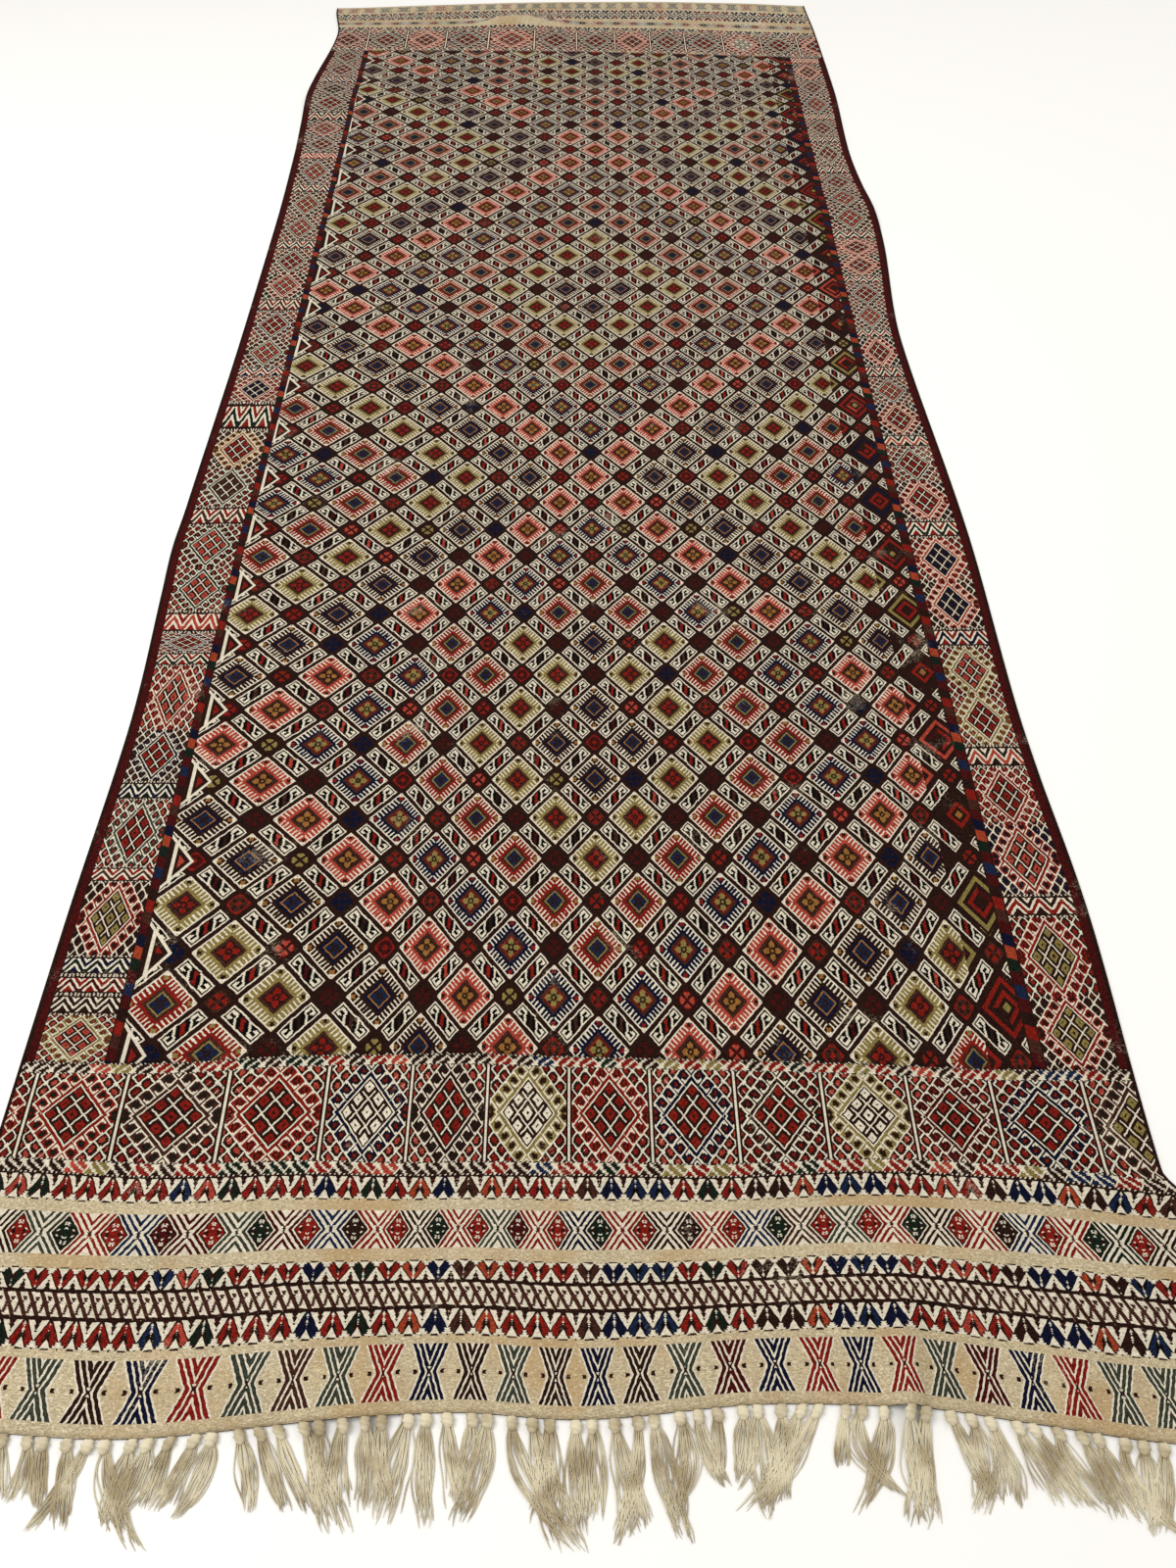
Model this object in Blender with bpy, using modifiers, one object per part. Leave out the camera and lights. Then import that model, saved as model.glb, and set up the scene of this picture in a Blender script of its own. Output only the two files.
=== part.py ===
"""A flat-woven kilim rug lying on a level surface, with a knotted fringe at its near end.

Units are metres and +Z is up. X runs across the rug and Y along it, from the fringed near end to the
plain far end. The rug lies on its underside: its origin is the middle of the space it takes up, at the
level of the surface. There are two solids: the cloth, woven in one piece, and the fringe, which is the
cloth's warp ends gathered into knotted tassels.

Shapes are worked out in the weaver's own coordinates first: across from the middle line and along from
the near edge, before the whole rug is moved to its origin.
"""
import math
from collections import namedtuple

import bmesh
import bpy
import numpy as np

# ---- the cloth ------------------------------------------------------------------------------------
CLOTH_LENGTH = 4.40
CLOTH_THICKNESS = 0.003
NEAR_PULL_REACH = 0.70          # how far in from the near edge its unevenness is felt

# The cloth's grid, as parts of its width and of its length. Its columns and rows stand closer
# together where the sharper folds are.
Run = namedtuple("Run", "start end steps")
COLUMN_RUNS = [
    Run(0.00, 0.67, 16),
    Run(0.67, 0.80, 10),
    Run(0.80, 1.00, 6),
]
ROW_RUNS = [
    Run(0.000, 0.060, 10),
    Run(0.060, 0.952, 22),
    Run(0.952, 0.984, 12),
    Run(0.984, 1.000, 2),
]

# The two sides, as distances from the middle line. The plain skirts at both ends are a little wider
# than the brocaded body between them.
Side = namedtuple("Side", "along left right")
SIDES = [
    Side(0.00, 0.815, 0.828),
    Side(0.26, 0.810, 0.815),
    Side(0.30, 0.797, 0.789),
    Side(0.70, 0.794, 0.800),
    Side(1.07, 0.787, 0.788),
    Side(1.59, 0.808, 0.799),
    Side(2.29, 0.803, 0.785),
    Side(2.86, 0.805, 0.822),
    Side(3.27, 0.814, 0.804),
    Side(3.72, 0.832, 0.818),
    Side(4.17, 0.797, 0.815),
    Side(4.40, 0.826, 0.808),
]

# How far each end edge strays from a straight line across the rug.
Edge = namedtuple("Edge", "across stray")
NEAR_EDGE = [
    Edge(-0.83, -0.008),
    Edge(-0.55, -0.025),
    Edge(-0.30, -0.007),
    Edge(-0.15, 0.000),
    Edge(0.00, -0.009),
    Edge(0.24, 0.006),
    Edge(0.40, 0.001),
    Edge(0.55, -0.019),
    Edge(0.70, -0.040),
    Edge(0.83, -0.048),
]
FAR_EDGE = [
    Edge(-0.83, 0.000),
    Edge(-0.50, 0.024),
    Edge(-0.10, 0.048),
    Edge(0.20, 0.050),
    Edge(0.60, 0.030),
    Edge(0.83, 0.006),
]

# Folds and low swells of the cloth. Each runs from one end to the other, at a height that eases from
# the first end's to the second's. The sharpest two are a rise at the near edge, to the right of the middle,
# and one that stands up across the far skirt, to the left of it.
Fold = namedtuple("Fold", "across_0 along_0 height_0 across_1 along_1 height_1 half_width")
FOLDS = [
    Fold(0.393, -0.03, 0.020, 0.42, 0.20, 0.000, 0.036),
    Fold(-0.360, 4.262, 0.000, -0.21, 4.272, 0.025, 0.036),
    Fold(-0.210, 4.272, 0.025, 0.05, 4.262, 0.000, 0.036),
    Fold(0.520, 0.220, 0.004, 0.70, 0.100, 0.008, 0.050),
    Fold(-0.270, -0.02, 0.007, -0.20, 0.20, 0.000, 0.090),
    Fold(-0.660, 0.36, 0.006, -0.30, 0.74, 0.000, 0.110),
    Fold(0.310, 0.86, 0.005, 0.72, 1.02, 0.003, 0.120),
    Fold(-0.760, 1.56, 0.006, -0.36, 1.74, 0.002, 0.140),
    Fold(0.330, 2.86, 0.003, 0.78, 2.94, 0.007, 0.160),
    Fold(-0.800, 3.66, 0.007, -0.40, 3.60, 0.003, 0.160),
]

# ---- the fringe -----------------------------------------------------------------------------------
TASSELS = 66
TASSEL_INSET = 0.012            # from each corner of the cloth to the middle of its last tassel
TASSEL_DRIFT = 0.0016           # how far a tassel strays from its even place
STRIP_GAP = 0.0004              # between the cloth's edge and the strip that holds the knots
STRIP_DEPTH = 0.003
ROOT_HALF_WIDTH = 0.005
KNOT_LENGTH = 0.016
KNOT_HALF_WIDTH = 0.0078
KNOT_HEIGHT = 0.011
LOCK_HALF_WIDTH = 0.0021
LOCK_HEIGHT = 0.006
LOCK_SPACING = 0.0056           # kept between neighbouring locks at the depth of the longest one
LOCK_SPREAD = 0.05              # added to the slope of each lock outwards from its tassel's middle one
LOCK_UNEVENNESS = 0.16          # part of its reach by which a lock is longer or shorter than its row says
LONGEST_LOCK = 0.13

# The sections of a knot and of a lock, from root to end. Distance is a part of the length, and the
# widths and heights are parts of the full ones. The outer columns of a knot stand from their foot to
# their shoulder, and a section is held up by a part of the cloth edge's own lift.
KnotRing = namedtuple("KnotRing", "distance width foot shoulder height held")
KNOT_RINGS = [
    KnotRing(0.25, 1.00, 0.30, 0.72, 0.95, 0.80),
    KnotRing(0.75, 1.05, 0.26, 0.70, 1.00, 0.55),
    KnotRing(1.00, 0.86, 0.00, 0.55, 0.62, 0.35),
]
LockRing = namedtuple("LockRing", "distance width height held")
LOCK_RINGS = [
    LockRing(0.30, 0.95, 1.00, 0.10),
    LockRing(0.70, 1.00, 0.90, 0.00),
    LockRing(1.00, 0.45, 0.35, 0.00),
]

# The lean of the locks, in degrees to the right, and how far they reach past their knots. A lock
# between two rows takes what lies between them.
Comb = namedtuple("Comb", "across lean reach")
COMBS = [
    Comb(-0.80, -6, 0.060),
    Comb(-0.64, 6, 0.062),
    Comb(-0.54, -4, 0.095),
    Comb(-0.46, -22, 0.052),
    Comb(-0.42, 8, 0.072),
    Comb(-0.37, 30, 0.078),
    Comb(-0.31, 13, 0.098),
    Comb(-0.23, 3, 0.080),
    Comb(-0.18, 7, 0.098),
    Comb(-0.13, 14, 0.068),
    Comb(-0.09, 6, 0.120),
    Comb(0.00, 4, 0.100),
    Comb(0.08, 3, 0.112),
    Comb(0.17, 10, 0.062),
    Comb(0.21, 4, 0.092),
    Comb(0.29, -24, 0.100),
    Comb(0.32, -6, 0.058),
    Comb(0.40, -6, 0.120),
    Comb(0.45, 8, 0.086),
    Comb(0.52, 18, 0.088),
    Comb(0.58, 22, 0.068),
    Comb(0.63, 6, 0.088),
    Comb(0.69, -6, 0.084),
    Comb(0.82, 8, 0.076),
]

# ---- colours, as seen from a few steps away ---------------------------------------------------------
CLOTH_COLOUR = (0.165, 0.085, 0.060)
FRINGE_COLOUR = (0.60, 0.51, 0.36)
WOOL_ROUGHNESS = 0.92


def column(table, name):
    """One named column of a table, as an array."""
    return np.array([getattr(row, name) for row in table], dtype=float)


def smooth_table(at, stations, values):
    """Reads a table between its rows along a smooth curve, level beyond its first and last rows.

    The curve is a cubic Hermite one. A row's slope is the harmonic mean of the slopes on its two
    sides, or level where they differ in sign, so that the curve never swings past a row.
    """
    at = np.clip(np.asarray(at, dtype=float), stations[0], stations[-1])
    steps = np.diff(values) / np.diff(stations)
    product = steps[:-1] * steps[1:]
    same_way = product > 0.0
    sums = np.where(same_way, steps[:-1] + steps[1:], 1.0)
    slopes = np.concatenate([[0.0], np.where(same_way, 2.0 * product / sums, 0.0), [0.0]])
    row = np.clip(np.searchsorted(stations, at) - 1, 0, len(stations) - 2)
    span = stations[row + 1] - stations[row]
    t = (at - stations[row]) / span
    rise = values[row + 1] - values[row]
    start = values[row] + rise * t * t * (3.0 - 2.0 * t)
    return start + span * t * (1.0 - t) * (slopes[row] * (1.0 - t) - slopes[row + 1] * t)


def side_reach(along, side):
    """Distance of the left or the right side from the middle line."""
    return smooth_table(along, column(SIDES, "along"), column(SIDES, side))


def edge_stray(across, table):
    """How far an end edge strays from its straight line, at a place across the rug."""
    return smooth_table(across, column(table, "across"), column(table, "stray"))


def fold_lift(across, along):
    """Height of the cloth's underside over the surface: that of the highest fold there.

    A fold's cross-section is a raised cosine over its half width, measured square to its line, and it
    runs out beyond its ends in the same way.
    """
    lift = np.zeros(np.broadcast(across, along).shape)
    for fold in FOLDS:
        run = np.array([fold.across_1 - fold.across_0, fold.along_1 - fold.along_0])
        length = math.hypot(*run)
        offset = (across - fold.across_0, along - fold.along_0)
        part = np.clip((offset[0] * run[0] + offset[1] * run[1]) / length ** 2, 0.0, 1.0)
        away = np.hypot(offset[0] - part * run[0], offset[1] - part * run[1])
        height = fold.height_0 + (fold.height_1 - fold.height_0) * part * part * (3.0 - 2.0 * part)
        swell = height * 0.5 * (1.0 + np.cos(np.pi * np.clip(away / fold.half_width, 0.0, 1.0)))
        lift = np.maximum(lift, swell)
    return lift


def cloth_point(across_part, along_part):
    """The underside of the cloth, from 0 to 1 across and along it, as X, Y and Z arrays.

    The sides follow their table. The ends' unevenness fades out over the cloth between them.
    """
    along = CLOTH_LENGTH * along_part
    left, right = side_reach(along, "left"), side_reach(along, "right")
    across = -left + (left + right) * across_part
    near = np.clip(1.0 - along / NEAR_PULL_REACH, 0.0, 1.0) ** 2
    far = along_part ** 4
    along = along + near * edge_stray(across, NEAR_EDGE) + far * edge_stray(across, FAR_EDGE)
    return across, along, fold_lift(across, along)


def stations(runs):
    """The places of a grid's lines, from 0 to 1: even steps within each of its runs."""
    starts = [np.linspace(run.start, run.end, run.steps, endpoint=False) for run in runs]
    return np.concatenate(starts + [[1.0]])


def make_material(name, colour):
    """Matt wool of one colour."""
    material = bpy.data.materials.new(name)
    material.use_nodes = True
    shader = material.node_tree.nodes["Principled BSDF"]
    shader.inputs["Base Color"].default_value = (*colour, 1.0)
    shader.inputs["Roughness"].default_value = WOOL_ROUGHNESS
    shader.inputs["Metallic"].default_value = 0.0
    return material


def make_object(name, mesh_builder, material, collection):
    """Turns a bmesh into a named object with its material."""
    mesh = bpy.data.meshes.new(name)
    mesh_builder.to_mesh(mesh)
    mesh_builder.free()
    mesh.materials.append(material)
    piece = bpy.data.objects.new(name, mesh)
    collection.objects.link(piece)
    return piece


def make_cloth(collection):
    """The cloth: a grid on its underside, bent to its outline and folds, then given its thickness."""
    columns, rows = stations(COLUMN_RUNS), stations(ROW_RUNS)
    builder = bmesh.new()
    bmesh.ops.create_grid(builder, x_segments=len(columns) - 1, y_segments=len(rows) - 1, size=0.5)
    column_of = [round((vert.co.x + 0.5) * (len(columns) - 1)) for vert in builder.verts]
    row_of = [round((vert.co.y + 0.5) * (len(rows) - 1)) for vert in builder.verts]
    for vert, place in zip(builder.verts, np.transpose(cloth_point(columns[column_of], rows[row_of]))):
        vert.co = place
    cloth = make_object("cloth", builder, make_material("brocaded_wool", CLOTH_COLOUR), collection)
    cloth.data.shade_smooth()
    wall = cloth.modifiers.new("thickness", "SOLIDIFY")
    wall.thickness = CLOTH_THICKNESS
    wall.offset = 1.0
    return cloth


def near_edge_line(across):
    """Y and Z of the cloth's near edge: straight runs between the columns of its grid."""
    parts = stations(COLUMN_RUNS)
    x, y, z = cloth_point(parts, np.zeros_like(parts))
    return np.interp(across, x, y), np.interp(across, x, z)


def tassel_places():
    """Where the tassels stand across the rug: evenly spaced, each a little off its place."""
    left = -SIDES[0].left + TASSEL_INSET
    right = SIDES[0].right - TASSEL_INSET
    places = np.linspace(left, right, TASSELS)
    return places + TASSEL_DRIFT * np.sin(2.4 * np.arange(TASSELS))


def spaced_apart(places, least):
    """Moves places in a row until each is at least the given distance from the next.

    One pass pushes them to the right and one to the left, and the result lies half-way between.
    """
    steps = least * np.arange(len(places))
    to_right = np.maximum.accumulate(places - steps) + steps
    to_left = np.minimum.accumulate((places - steps)[::-1])[::-1] + steps
    return 0.5 * (to_right + to_left)


def lock_plan(places):
    """For each tassel, its locks as (face of the knot's end, slope to the right, reach)."""
    across = column(COMBS, "across")
    lean = np.radians(np.interp(places, across, column(COMBS, "lean")))
    reach = np.interp(places, across, column(COMBS, "reach"))
    faces = [(0, 1, 2) if index % 3 else (0, 2) for index in range(TASSELS)]
    rows = [(tassel, face) for tassel in range(TASSELS) for face in faces[tassel]]
    roots = np.array([places[tassel] + (face - 1) * ROOT_HALF_WIDTH for tassel, face in rows])
    slopes = np.array([math.tan(lean[tassel]) + LOCK_SPREAD * (face - 1) for tassel, face in rows])
    ends = spaced_apart(roots + slopes * LONGEST_LOCK, LOCK_SPACING)
    plan = [[] for _ in range(TASSELS)]
    for (tassel, face), root, end in zip(rows, roots, ends):
        uneven = 1.0 + LOCK_UNEVENNESS * math.sin(3.7 * tassel + 2.1 * face)
        length = min(reach[tassel] * uneven, LONGEST_LOCK)
        plan[tassel].append((face, (end - root) / LONGEST_LOCK, length))
    return plan


def ring_columns(verts):
    """A ring's vertices as columns from left to right, each a bottom and a top vertex."""
    by_across = sorted(verts, key=lambda vert: vert.co.x)
    pairs = [by_across[index:index + 2] for index in range(0, len(by_across), 2)]
    return [sorted(pair, key=lambda vert: vert.co.z) for pair in pairs]


def grow_ring(builder, faces, centre, slope, half_width, floor, bottoms, tops):
    """Extrudes faces by one ring and sets the new ring square to its path, and returns its faces.

    bottoms and tops are the heights of the ring's columns over its floor, from left to right.
    """
    grown = bmesh.ops.extrude_face_region(builder, geom=faces)["geom"]
    bmesh.ops.delete(builder, geom=faces, context="FACES")
    new_faces = [item for item in grown if isinstance(item, bmesh.types.BMFace)]
    columns = ring_columns({vert for face in new_faces for vert in face.verts})
    turn = math.hypot(1.0, slope)
    for place, pair, low, high in zip(np.linspace(-1.0, 1.0, len(columns)), columns, bottoms, tops):
        x = centre[0] + place * half_width / turn
        y = centre[1] + place * half_width * slope / turn
        pair[0].co = (x, y, floor + low)
        pair[1].co = (x, y, floor + high)
    return sorted(new_faces, key=lambda face: face.calc_center_median().x)


def grow_knot(builder, faces, root, slope, lift):
    """A tassel's knot, swelling from its root and drawn in again at its end.

    It is four columns wide, so its end has three faces. Returns them with the middle of each.
    """
    for ring in KNOT_RINGS:
        centre = (root[0] + slope * ring.distance * KNOT_LENGTH, root[1] - ring.distance * KNOT_LENGTH)
        half_width = ring.width * KNOT_HALF_WIDTH
        bottoms = KNOT_HEIGHT * np.array([ring.foot, 0.0, 0.0, ring.foot])
        tops = KNOT_HEIGHT * np.array([ring.shoulder, ring.height, ring.height, ring.shoulder])
        faces = grow_ring(builder, faces, centre, slope, half_width, ring.held * lift, bottoms, tops)
    middles = [(centre[0] + place * half_width, centre[1]) for place in (-2 / 3, 0.0, 2 / 3)]
    return list(zip(faces, middles))


def grow_lock(builder, face, start, slope, reach, lift):
    """One lock: a four-sided strand from the knot's end to its tip, level on the surface."""
    for ring in LOCK_RINGS:
        centre = (start[0] + slope * ring.distance * reach, start[1] - ring.distance * reach)
        half_width = ring.width * LOCK_HALF_WIDTH
        tops = [ring.height * LOCK_HEIGHT] * 2
        face = grow_ring(builder, [face], centre, slope, half_width, ring.held * lift, [0.0, 0.0], tops)[0]


def make_fringe(collection):
    """The fringe: a narrow strip along the cloth's near edge, with a knot and locks for each tassel.

    The strip's front is a grid one face high. It is drawn back to the strip's depth, and the knots
    and locks are drawn forward out of its faces, three faces to a knot.
    """
    places = tassel_places()
    offsets = ROOT_HALF_WIDTH * np.linspace(-1.0, 1.0, 4)
    posts = (places[:, None] + offsets[None, :]).ravel()
    builder = bmesh.new()
    bmesh.ops.create_grid(builder, x_segments=len(posts) - 1, y_segments=1, size=0.5)
    edge_y, edge_z = near_edge_line(posts)
    for vert in builder.verts:
        post = round((vert.co.x + 0.5) * (len(posts) - 1))
        top = CLOTH_THICKNESS if vert.co.y > 0.0 else 0.0
        vert.co = (posts[post], edge_y[post] - STRIP_GAP - STRIP_DEPTH, edge_z[post] + top)
    front_faces = sorted(builder.faces, key=lambda face: face.calc_center_median().x)
    back = bmesh.ops.extrude_face_region(builder, geom=front_faces)["geom"]
    for item in back:
        if isinstance(item, bmesh.types.BMVert):
            item.co.y += STRIP_DEPTH
    knot_fronts = [front_faces[4 * tassel:4 * tassel + 3] for tassel in range(TASSELS)]
    for place, fronts, locks in zip(places, knot_fronts, lock_plan(places)):
        edge_y, edge_z = near_edge_line(place)
        root = (place, edge_y - STRIP_GAP - STRIP_DEPTH)
        slope = sum(lock[1] for lock in locks) / len(locks)
        ends = grow_knot(builder, fronts, root, slope, edge_z)
        for face, lock_slope, reach in locks:
            end_face, start = ends[face]
            grow_lock(builder, end_face, start, lock_slope, reach, edge_z)
    bmesh.ops.recalc_face_normals(builder, faces=builder.faces)
    return make_object("fringe", builder, make_material("undyed_wool", FRINGE_COLOUR), collection)


def centre_on_origin(pieces):
    """Moves the pieces together until the middle of the space they take up is at the origin."""
    bpy.context.view_layer.update()
    depsgraph = bpy.context.evaluated_depsgraph_get()
    corners = np.array([corner[:] for piece in pieces for corner in piece.evaluated_get(depsgraph).bound_box])
    middle = 0.5 * (corners.min(axis=0) + corners.max(axis=0))
    for piece in pieces:
        piece.location = (-middle[0], -middle[1], 0.0)


def main():
    for old in list(bpy.data.objects):
        bpy.data.objects.remove(old, do_unlink=True)
    collection = bpy.data.collections.new("kilim_rug")
    bpy.context.scene.collection.children.link(collection)
    centre_on_origin([make_cloth(collection), make_fringe(collection)])


main()
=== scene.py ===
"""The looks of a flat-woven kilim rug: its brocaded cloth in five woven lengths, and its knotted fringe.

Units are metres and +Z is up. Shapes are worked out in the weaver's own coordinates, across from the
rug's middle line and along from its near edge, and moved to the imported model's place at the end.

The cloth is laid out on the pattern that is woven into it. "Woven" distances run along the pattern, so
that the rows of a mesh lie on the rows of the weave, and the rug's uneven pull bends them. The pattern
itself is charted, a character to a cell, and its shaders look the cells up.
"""
import math
from collections import namedtuple
from functools import partial

import bpy
import numpy as np
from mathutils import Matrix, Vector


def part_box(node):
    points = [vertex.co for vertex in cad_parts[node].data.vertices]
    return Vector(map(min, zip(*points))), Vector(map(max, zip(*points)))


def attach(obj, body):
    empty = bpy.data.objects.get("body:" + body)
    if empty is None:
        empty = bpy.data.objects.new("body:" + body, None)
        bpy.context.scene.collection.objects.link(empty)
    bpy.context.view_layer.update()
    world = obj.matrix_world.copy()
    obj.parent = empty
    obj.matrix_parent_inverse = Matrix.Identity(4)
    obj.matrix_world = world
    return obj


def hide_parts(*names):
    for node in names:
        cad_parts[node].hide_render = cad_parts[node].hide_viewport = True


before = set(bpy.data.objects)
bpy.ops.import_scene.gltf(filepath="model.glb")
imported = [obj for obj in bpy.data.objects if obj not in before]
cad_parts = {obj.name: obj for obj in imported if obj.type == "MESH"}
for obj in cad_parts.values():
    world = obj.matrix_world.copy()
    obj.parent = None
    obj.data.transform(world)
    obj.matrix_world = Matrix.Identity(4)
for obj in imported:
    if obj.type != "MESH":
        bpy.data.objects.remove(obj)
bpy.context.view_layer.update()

# ---- the cloth's shape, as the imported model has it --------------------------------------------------
CLOTH_LENGTH = 4.40
CLOTH_THICKNESS = 0.003
NEAR_PULL_REACH = 0.70          # how far in from the near edge its unevenness is felt
WIDEST_LEFT = 0.832             # the cloth's furthest reach to the left of the middle line
FURTHEST_ALONG = 4.450          # and from the near edge's line, at the bowed far edge

Side = namedtuple("Side", "along left right")
SIDES = [
    Side(0.00, 0.815, 0.828),
    Side(0.26, 0.810, 0.815),
    Side(0.30, 0.797, 0.789),
    Side(0.70, 0.794, 0.800),
    Side(1.07, 0.787, 0.788),
    Side(1.59, 0.808, 0.799),
    Side(2.29, 0.803, 0.785),
    Side(2.86, 0.805, 0.822),
    Side(3.27, 0.814, 0.804),
    Side(3.72, 0.832, 0.818),
    Side(4.17, 0.797, 0.815),
    Side(4.40, 0.826, 0.808),
]
Edge = namedtuple("Edge", "across stray")
NEAR_EDGE = [
    Edge(-0.83, -0.008),
    Edge(-0.55, -0.025),
    Edge(-0.30, -0.007),
    Edge(-0.15, 0.000),
    Edge(0.00, -0.009),
    Edge(0.24, 0.006),
    Edge(0.40, 0.001),
    Edge(0.55, -0.019),
    Edge(0.70, -0.040),
    Edge(0.83, -0.048),
]
FAR_EDGE = [
    Edge(-0.83, 0.000),
    Edge(-0.50, 0.024),
    Edge(-0.10, 0.048),
    Edge(0.20, 0.050),
    Edge(0.60, 0.030),
    Edge(0.83, 0.006),
]
Fold = namedtuple("Fold", "across_0 along_0 height_0 across_1 along_1 height_1 half_width")
FOLDS = [
    Fold(0.393, -0.03, 0.020, 0.42, 0.20, 0.000, 0.036),
    Fold(-0.360, 4.262, 0.000, -0.21, 4.272, 0.025, 0.036),
    Fold(-0.210, 4.272, 0.025, 0.05, 4.262, 0.000, 0.036),
    Fold(0.520, 0.220, 0.004, 0.70, 0.100, 0.008, 0.050),
    Fold(-0.270, -0.02, 0.007, -0.20, 0.20, 0.000, 0.090),
    Fold(-0.660, 0.36, 0.006, -0.30, 0.74, 0.000, 0.110),
    Fold(0.310, 0.86, 0.005, 0.72, 1.02, 0.003, 0.120),
    Fold(-0.760, 1.56, 0.006, -0.36, 1.74, 0.002, 0.140),
    Fold(0.330, 2.86, 0.003, 0.78, 2.94, 0.007, 0.160),
    Fold(-0.800, 3.66, 0.007, -0.40, 3.60, 0.003, 0.160),
]

# ---- the pattern's own drift ------------------------------------------------------------------------
# How far the woven rows lie from the cloth's straight ones, beyond the strays of its ends: one row of
# the table for each woven distance, read across the rug.
DRIFT_ACROSS = [-0.80, -0.60, -0.40, -0.20, 0.00, 0.20, 0.40, 0.60, 0.80]
LEVEL = [0.0] * len(DRIFT_ACROSS)
DRIFT = {
    0.00: LEVEL,
    0.14: [0.008, 0.010, 0.011, 0.006, 0.005, 0.000, 0.007, 0.003, -0.001],
    0.30: [0.017, 0.011, 0.010, 0.002, 0.003, -0.006, 0.001, 0.000, -0.015],
    0.45: [0.004, 0.000, 0.011, 0.011, 0.005, -0.003, -0.010, -0.017, -0.016],
    0.90: LEVEL,
    2.20: LEVEL,
    3.30: [0.002, -0.004, -0.009, -0.013, -0.016, -0.017, -0.016, -0.013, -0.008],
    4.01: [0.025, 0.011, -0.002, -0.016, -0.026, -0.038, -0.047, -0.054, -0.054],
    4.19: [0.033, 0.019, 0.011, 0.010, -0.013, -0.022, -0.029, -0.039, -0.036],
    4.40: LEVEL,
}

# ---- the woven lengths and the bands across them ----------------------------------------------------
LENGTH_ENDS = [0.0, 0.452, 1.64, 2.82, 4.01, 4.40]
CELL = 0.0021                   # the width of one cell of the charts, about two warps
GRID_STEP = 0.009               # the most between neighbouring lines of a cloth's grid


def column(table, name):
    """One named column of a table, as an array."""
    return np.array([getattr(row, name) for row in table], dtype=float)


def smooth_table(at, stations, values):
    """Reads a table between its rows along a smooth curve, level beyond its first and last rows.

    The curve is a cubic Hermite one. A row's slope is the harmonic mean of the slopes on its two
    sides, or level where they differ in sign, so that the curve never swings past a row.
    """
    at = np.clip(np.asarray(at, dtype=float), stations[0], stations[-1])
    steps = np.diff(values) / np.diff(stations)
    product = steps[:-1] * steps[1:]
    same_way = product > 0.0
    sums = np.where(same_way, steps[:-1] + steps[1:], 1.0)
    slopes = np.concatenate([[0.0], np.where(same_way, 2.0 * product / sums, 0.0), [0.0]])
    row = np.clip(np.searchsorted(stations, at) - 1, 0, len(stations) - 2)
    span = stations[row + 1] - stations[row]
    t = (at - stations[row]) / span
    rise = values[row + 1] - values[row]
    start = values[row] + rise * t * t * (3.0 - 2.0 * t)
    return start + span * t * (1.0 - t) * (slopes[row] * (1.0 - t) - slopes[row + 1] * t)


def side_reach(along, side):
    """Distance of the left or the right side from the middle line."""
    return smooth_table(along, column(SIDES, "along"), column(SIDES, side))


def edge_stray(across, table):
    """How far an end edge strays from its straight line, at a place across the rug."""
    return smooth_table(across, column(table, "across"), column(table, "stray"))


def fold_lift(across, along):
    """Height of the cloth's underside over the floor: that of the highest fold there.

    A fold's cross-section is a raised cosine over its half width, measured square to its line, and it
    runs out beyond its ends in the same way.
    """
    lift = np.zeros(np.broadcast(across, along).shape)
    for fold in FOLDS:
        run = np.array([fold.across_1 - fold.across_0, fold.along_1 - fold.along_0])
        length = math.hypot(*run)
        offset = (across - fold.across_0, along - fold.along_0)
        part = np.clip((offset[0] * run[0] + offset[1] * run[1]) / length ** 2, 0.0, 1.0)
        away = np.hypot(offset[0] - part * run[0], offset[1] - part * run[1])
        height = fold.height_0 + (fold.height_1 - fold.height_0) * part * part * (3.0 - 2.0 * part)
        swell = height * 0.5 * (1.0 + np.cos(np.pi * np.clip(away / fold.half_width, 0.0, 1.0)))
        lift = np.maximum(lift, swell)
    return lift


def pattern_drift(across, woven):
    """How far a woven row lies from the cloth's straight one: the drift table, read both ways."""
    stations = np.array(sorted(DRIFT))
    places = np.array(DRIFT_ACROSS)
    rows = np.array([smooth_table(across, places, np.array(DRIFT[station])) for station in stations])
    row = np.clip(np.searchsorted(stations, woven) - 1, 0, len(stations) - 2)
    part = np.clip((woven - stations[row]) / (stations[row + 1] - stations[row]), 0.0, 1.0)
    low = np.take_along_axis(rows, row[None], axis=0)[0]
    high = np.take_along_axis(rows, row[None] + 1, axis=0)[0]
    return low + (high - low) * part * part * (3.0 - 2.0 * part)


def cloth_surface(spread, woven):
    """The underside of the cloth, as X, Y and Z arrays.

    spread runs from -1 at the left side to 1 at the right one, nought being the middle line, and
    woven is the distance along the pattern. The pattern's drift is taken off first, and the packed
    cloth's own formula then gives the place: its sides' table, and its ends' strays, fading inwards.
    """
    guess = np.where(spread < 0.0, spread * side_reach(woven, "left"), spread * side_reach(woven, "right"))
    along = woven + pattern_drift(guess, woven)
    across = np.where(spread < 0.0, spread * side_reach(along, "left"), spread * side_reach(along, "right"))
    near = np.clip(1.0 - along / NEAR_PULL_REACH, 0.0, 1.0) ** 2
    far = (along / CLOTH_LENGTH) ** 4
    along = along + near * edge_stray(across, NEAR_EDGE) + far * edge_stray(across, FAR_EDGE)
    return across, along, fold_lift(across, along)


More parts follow.
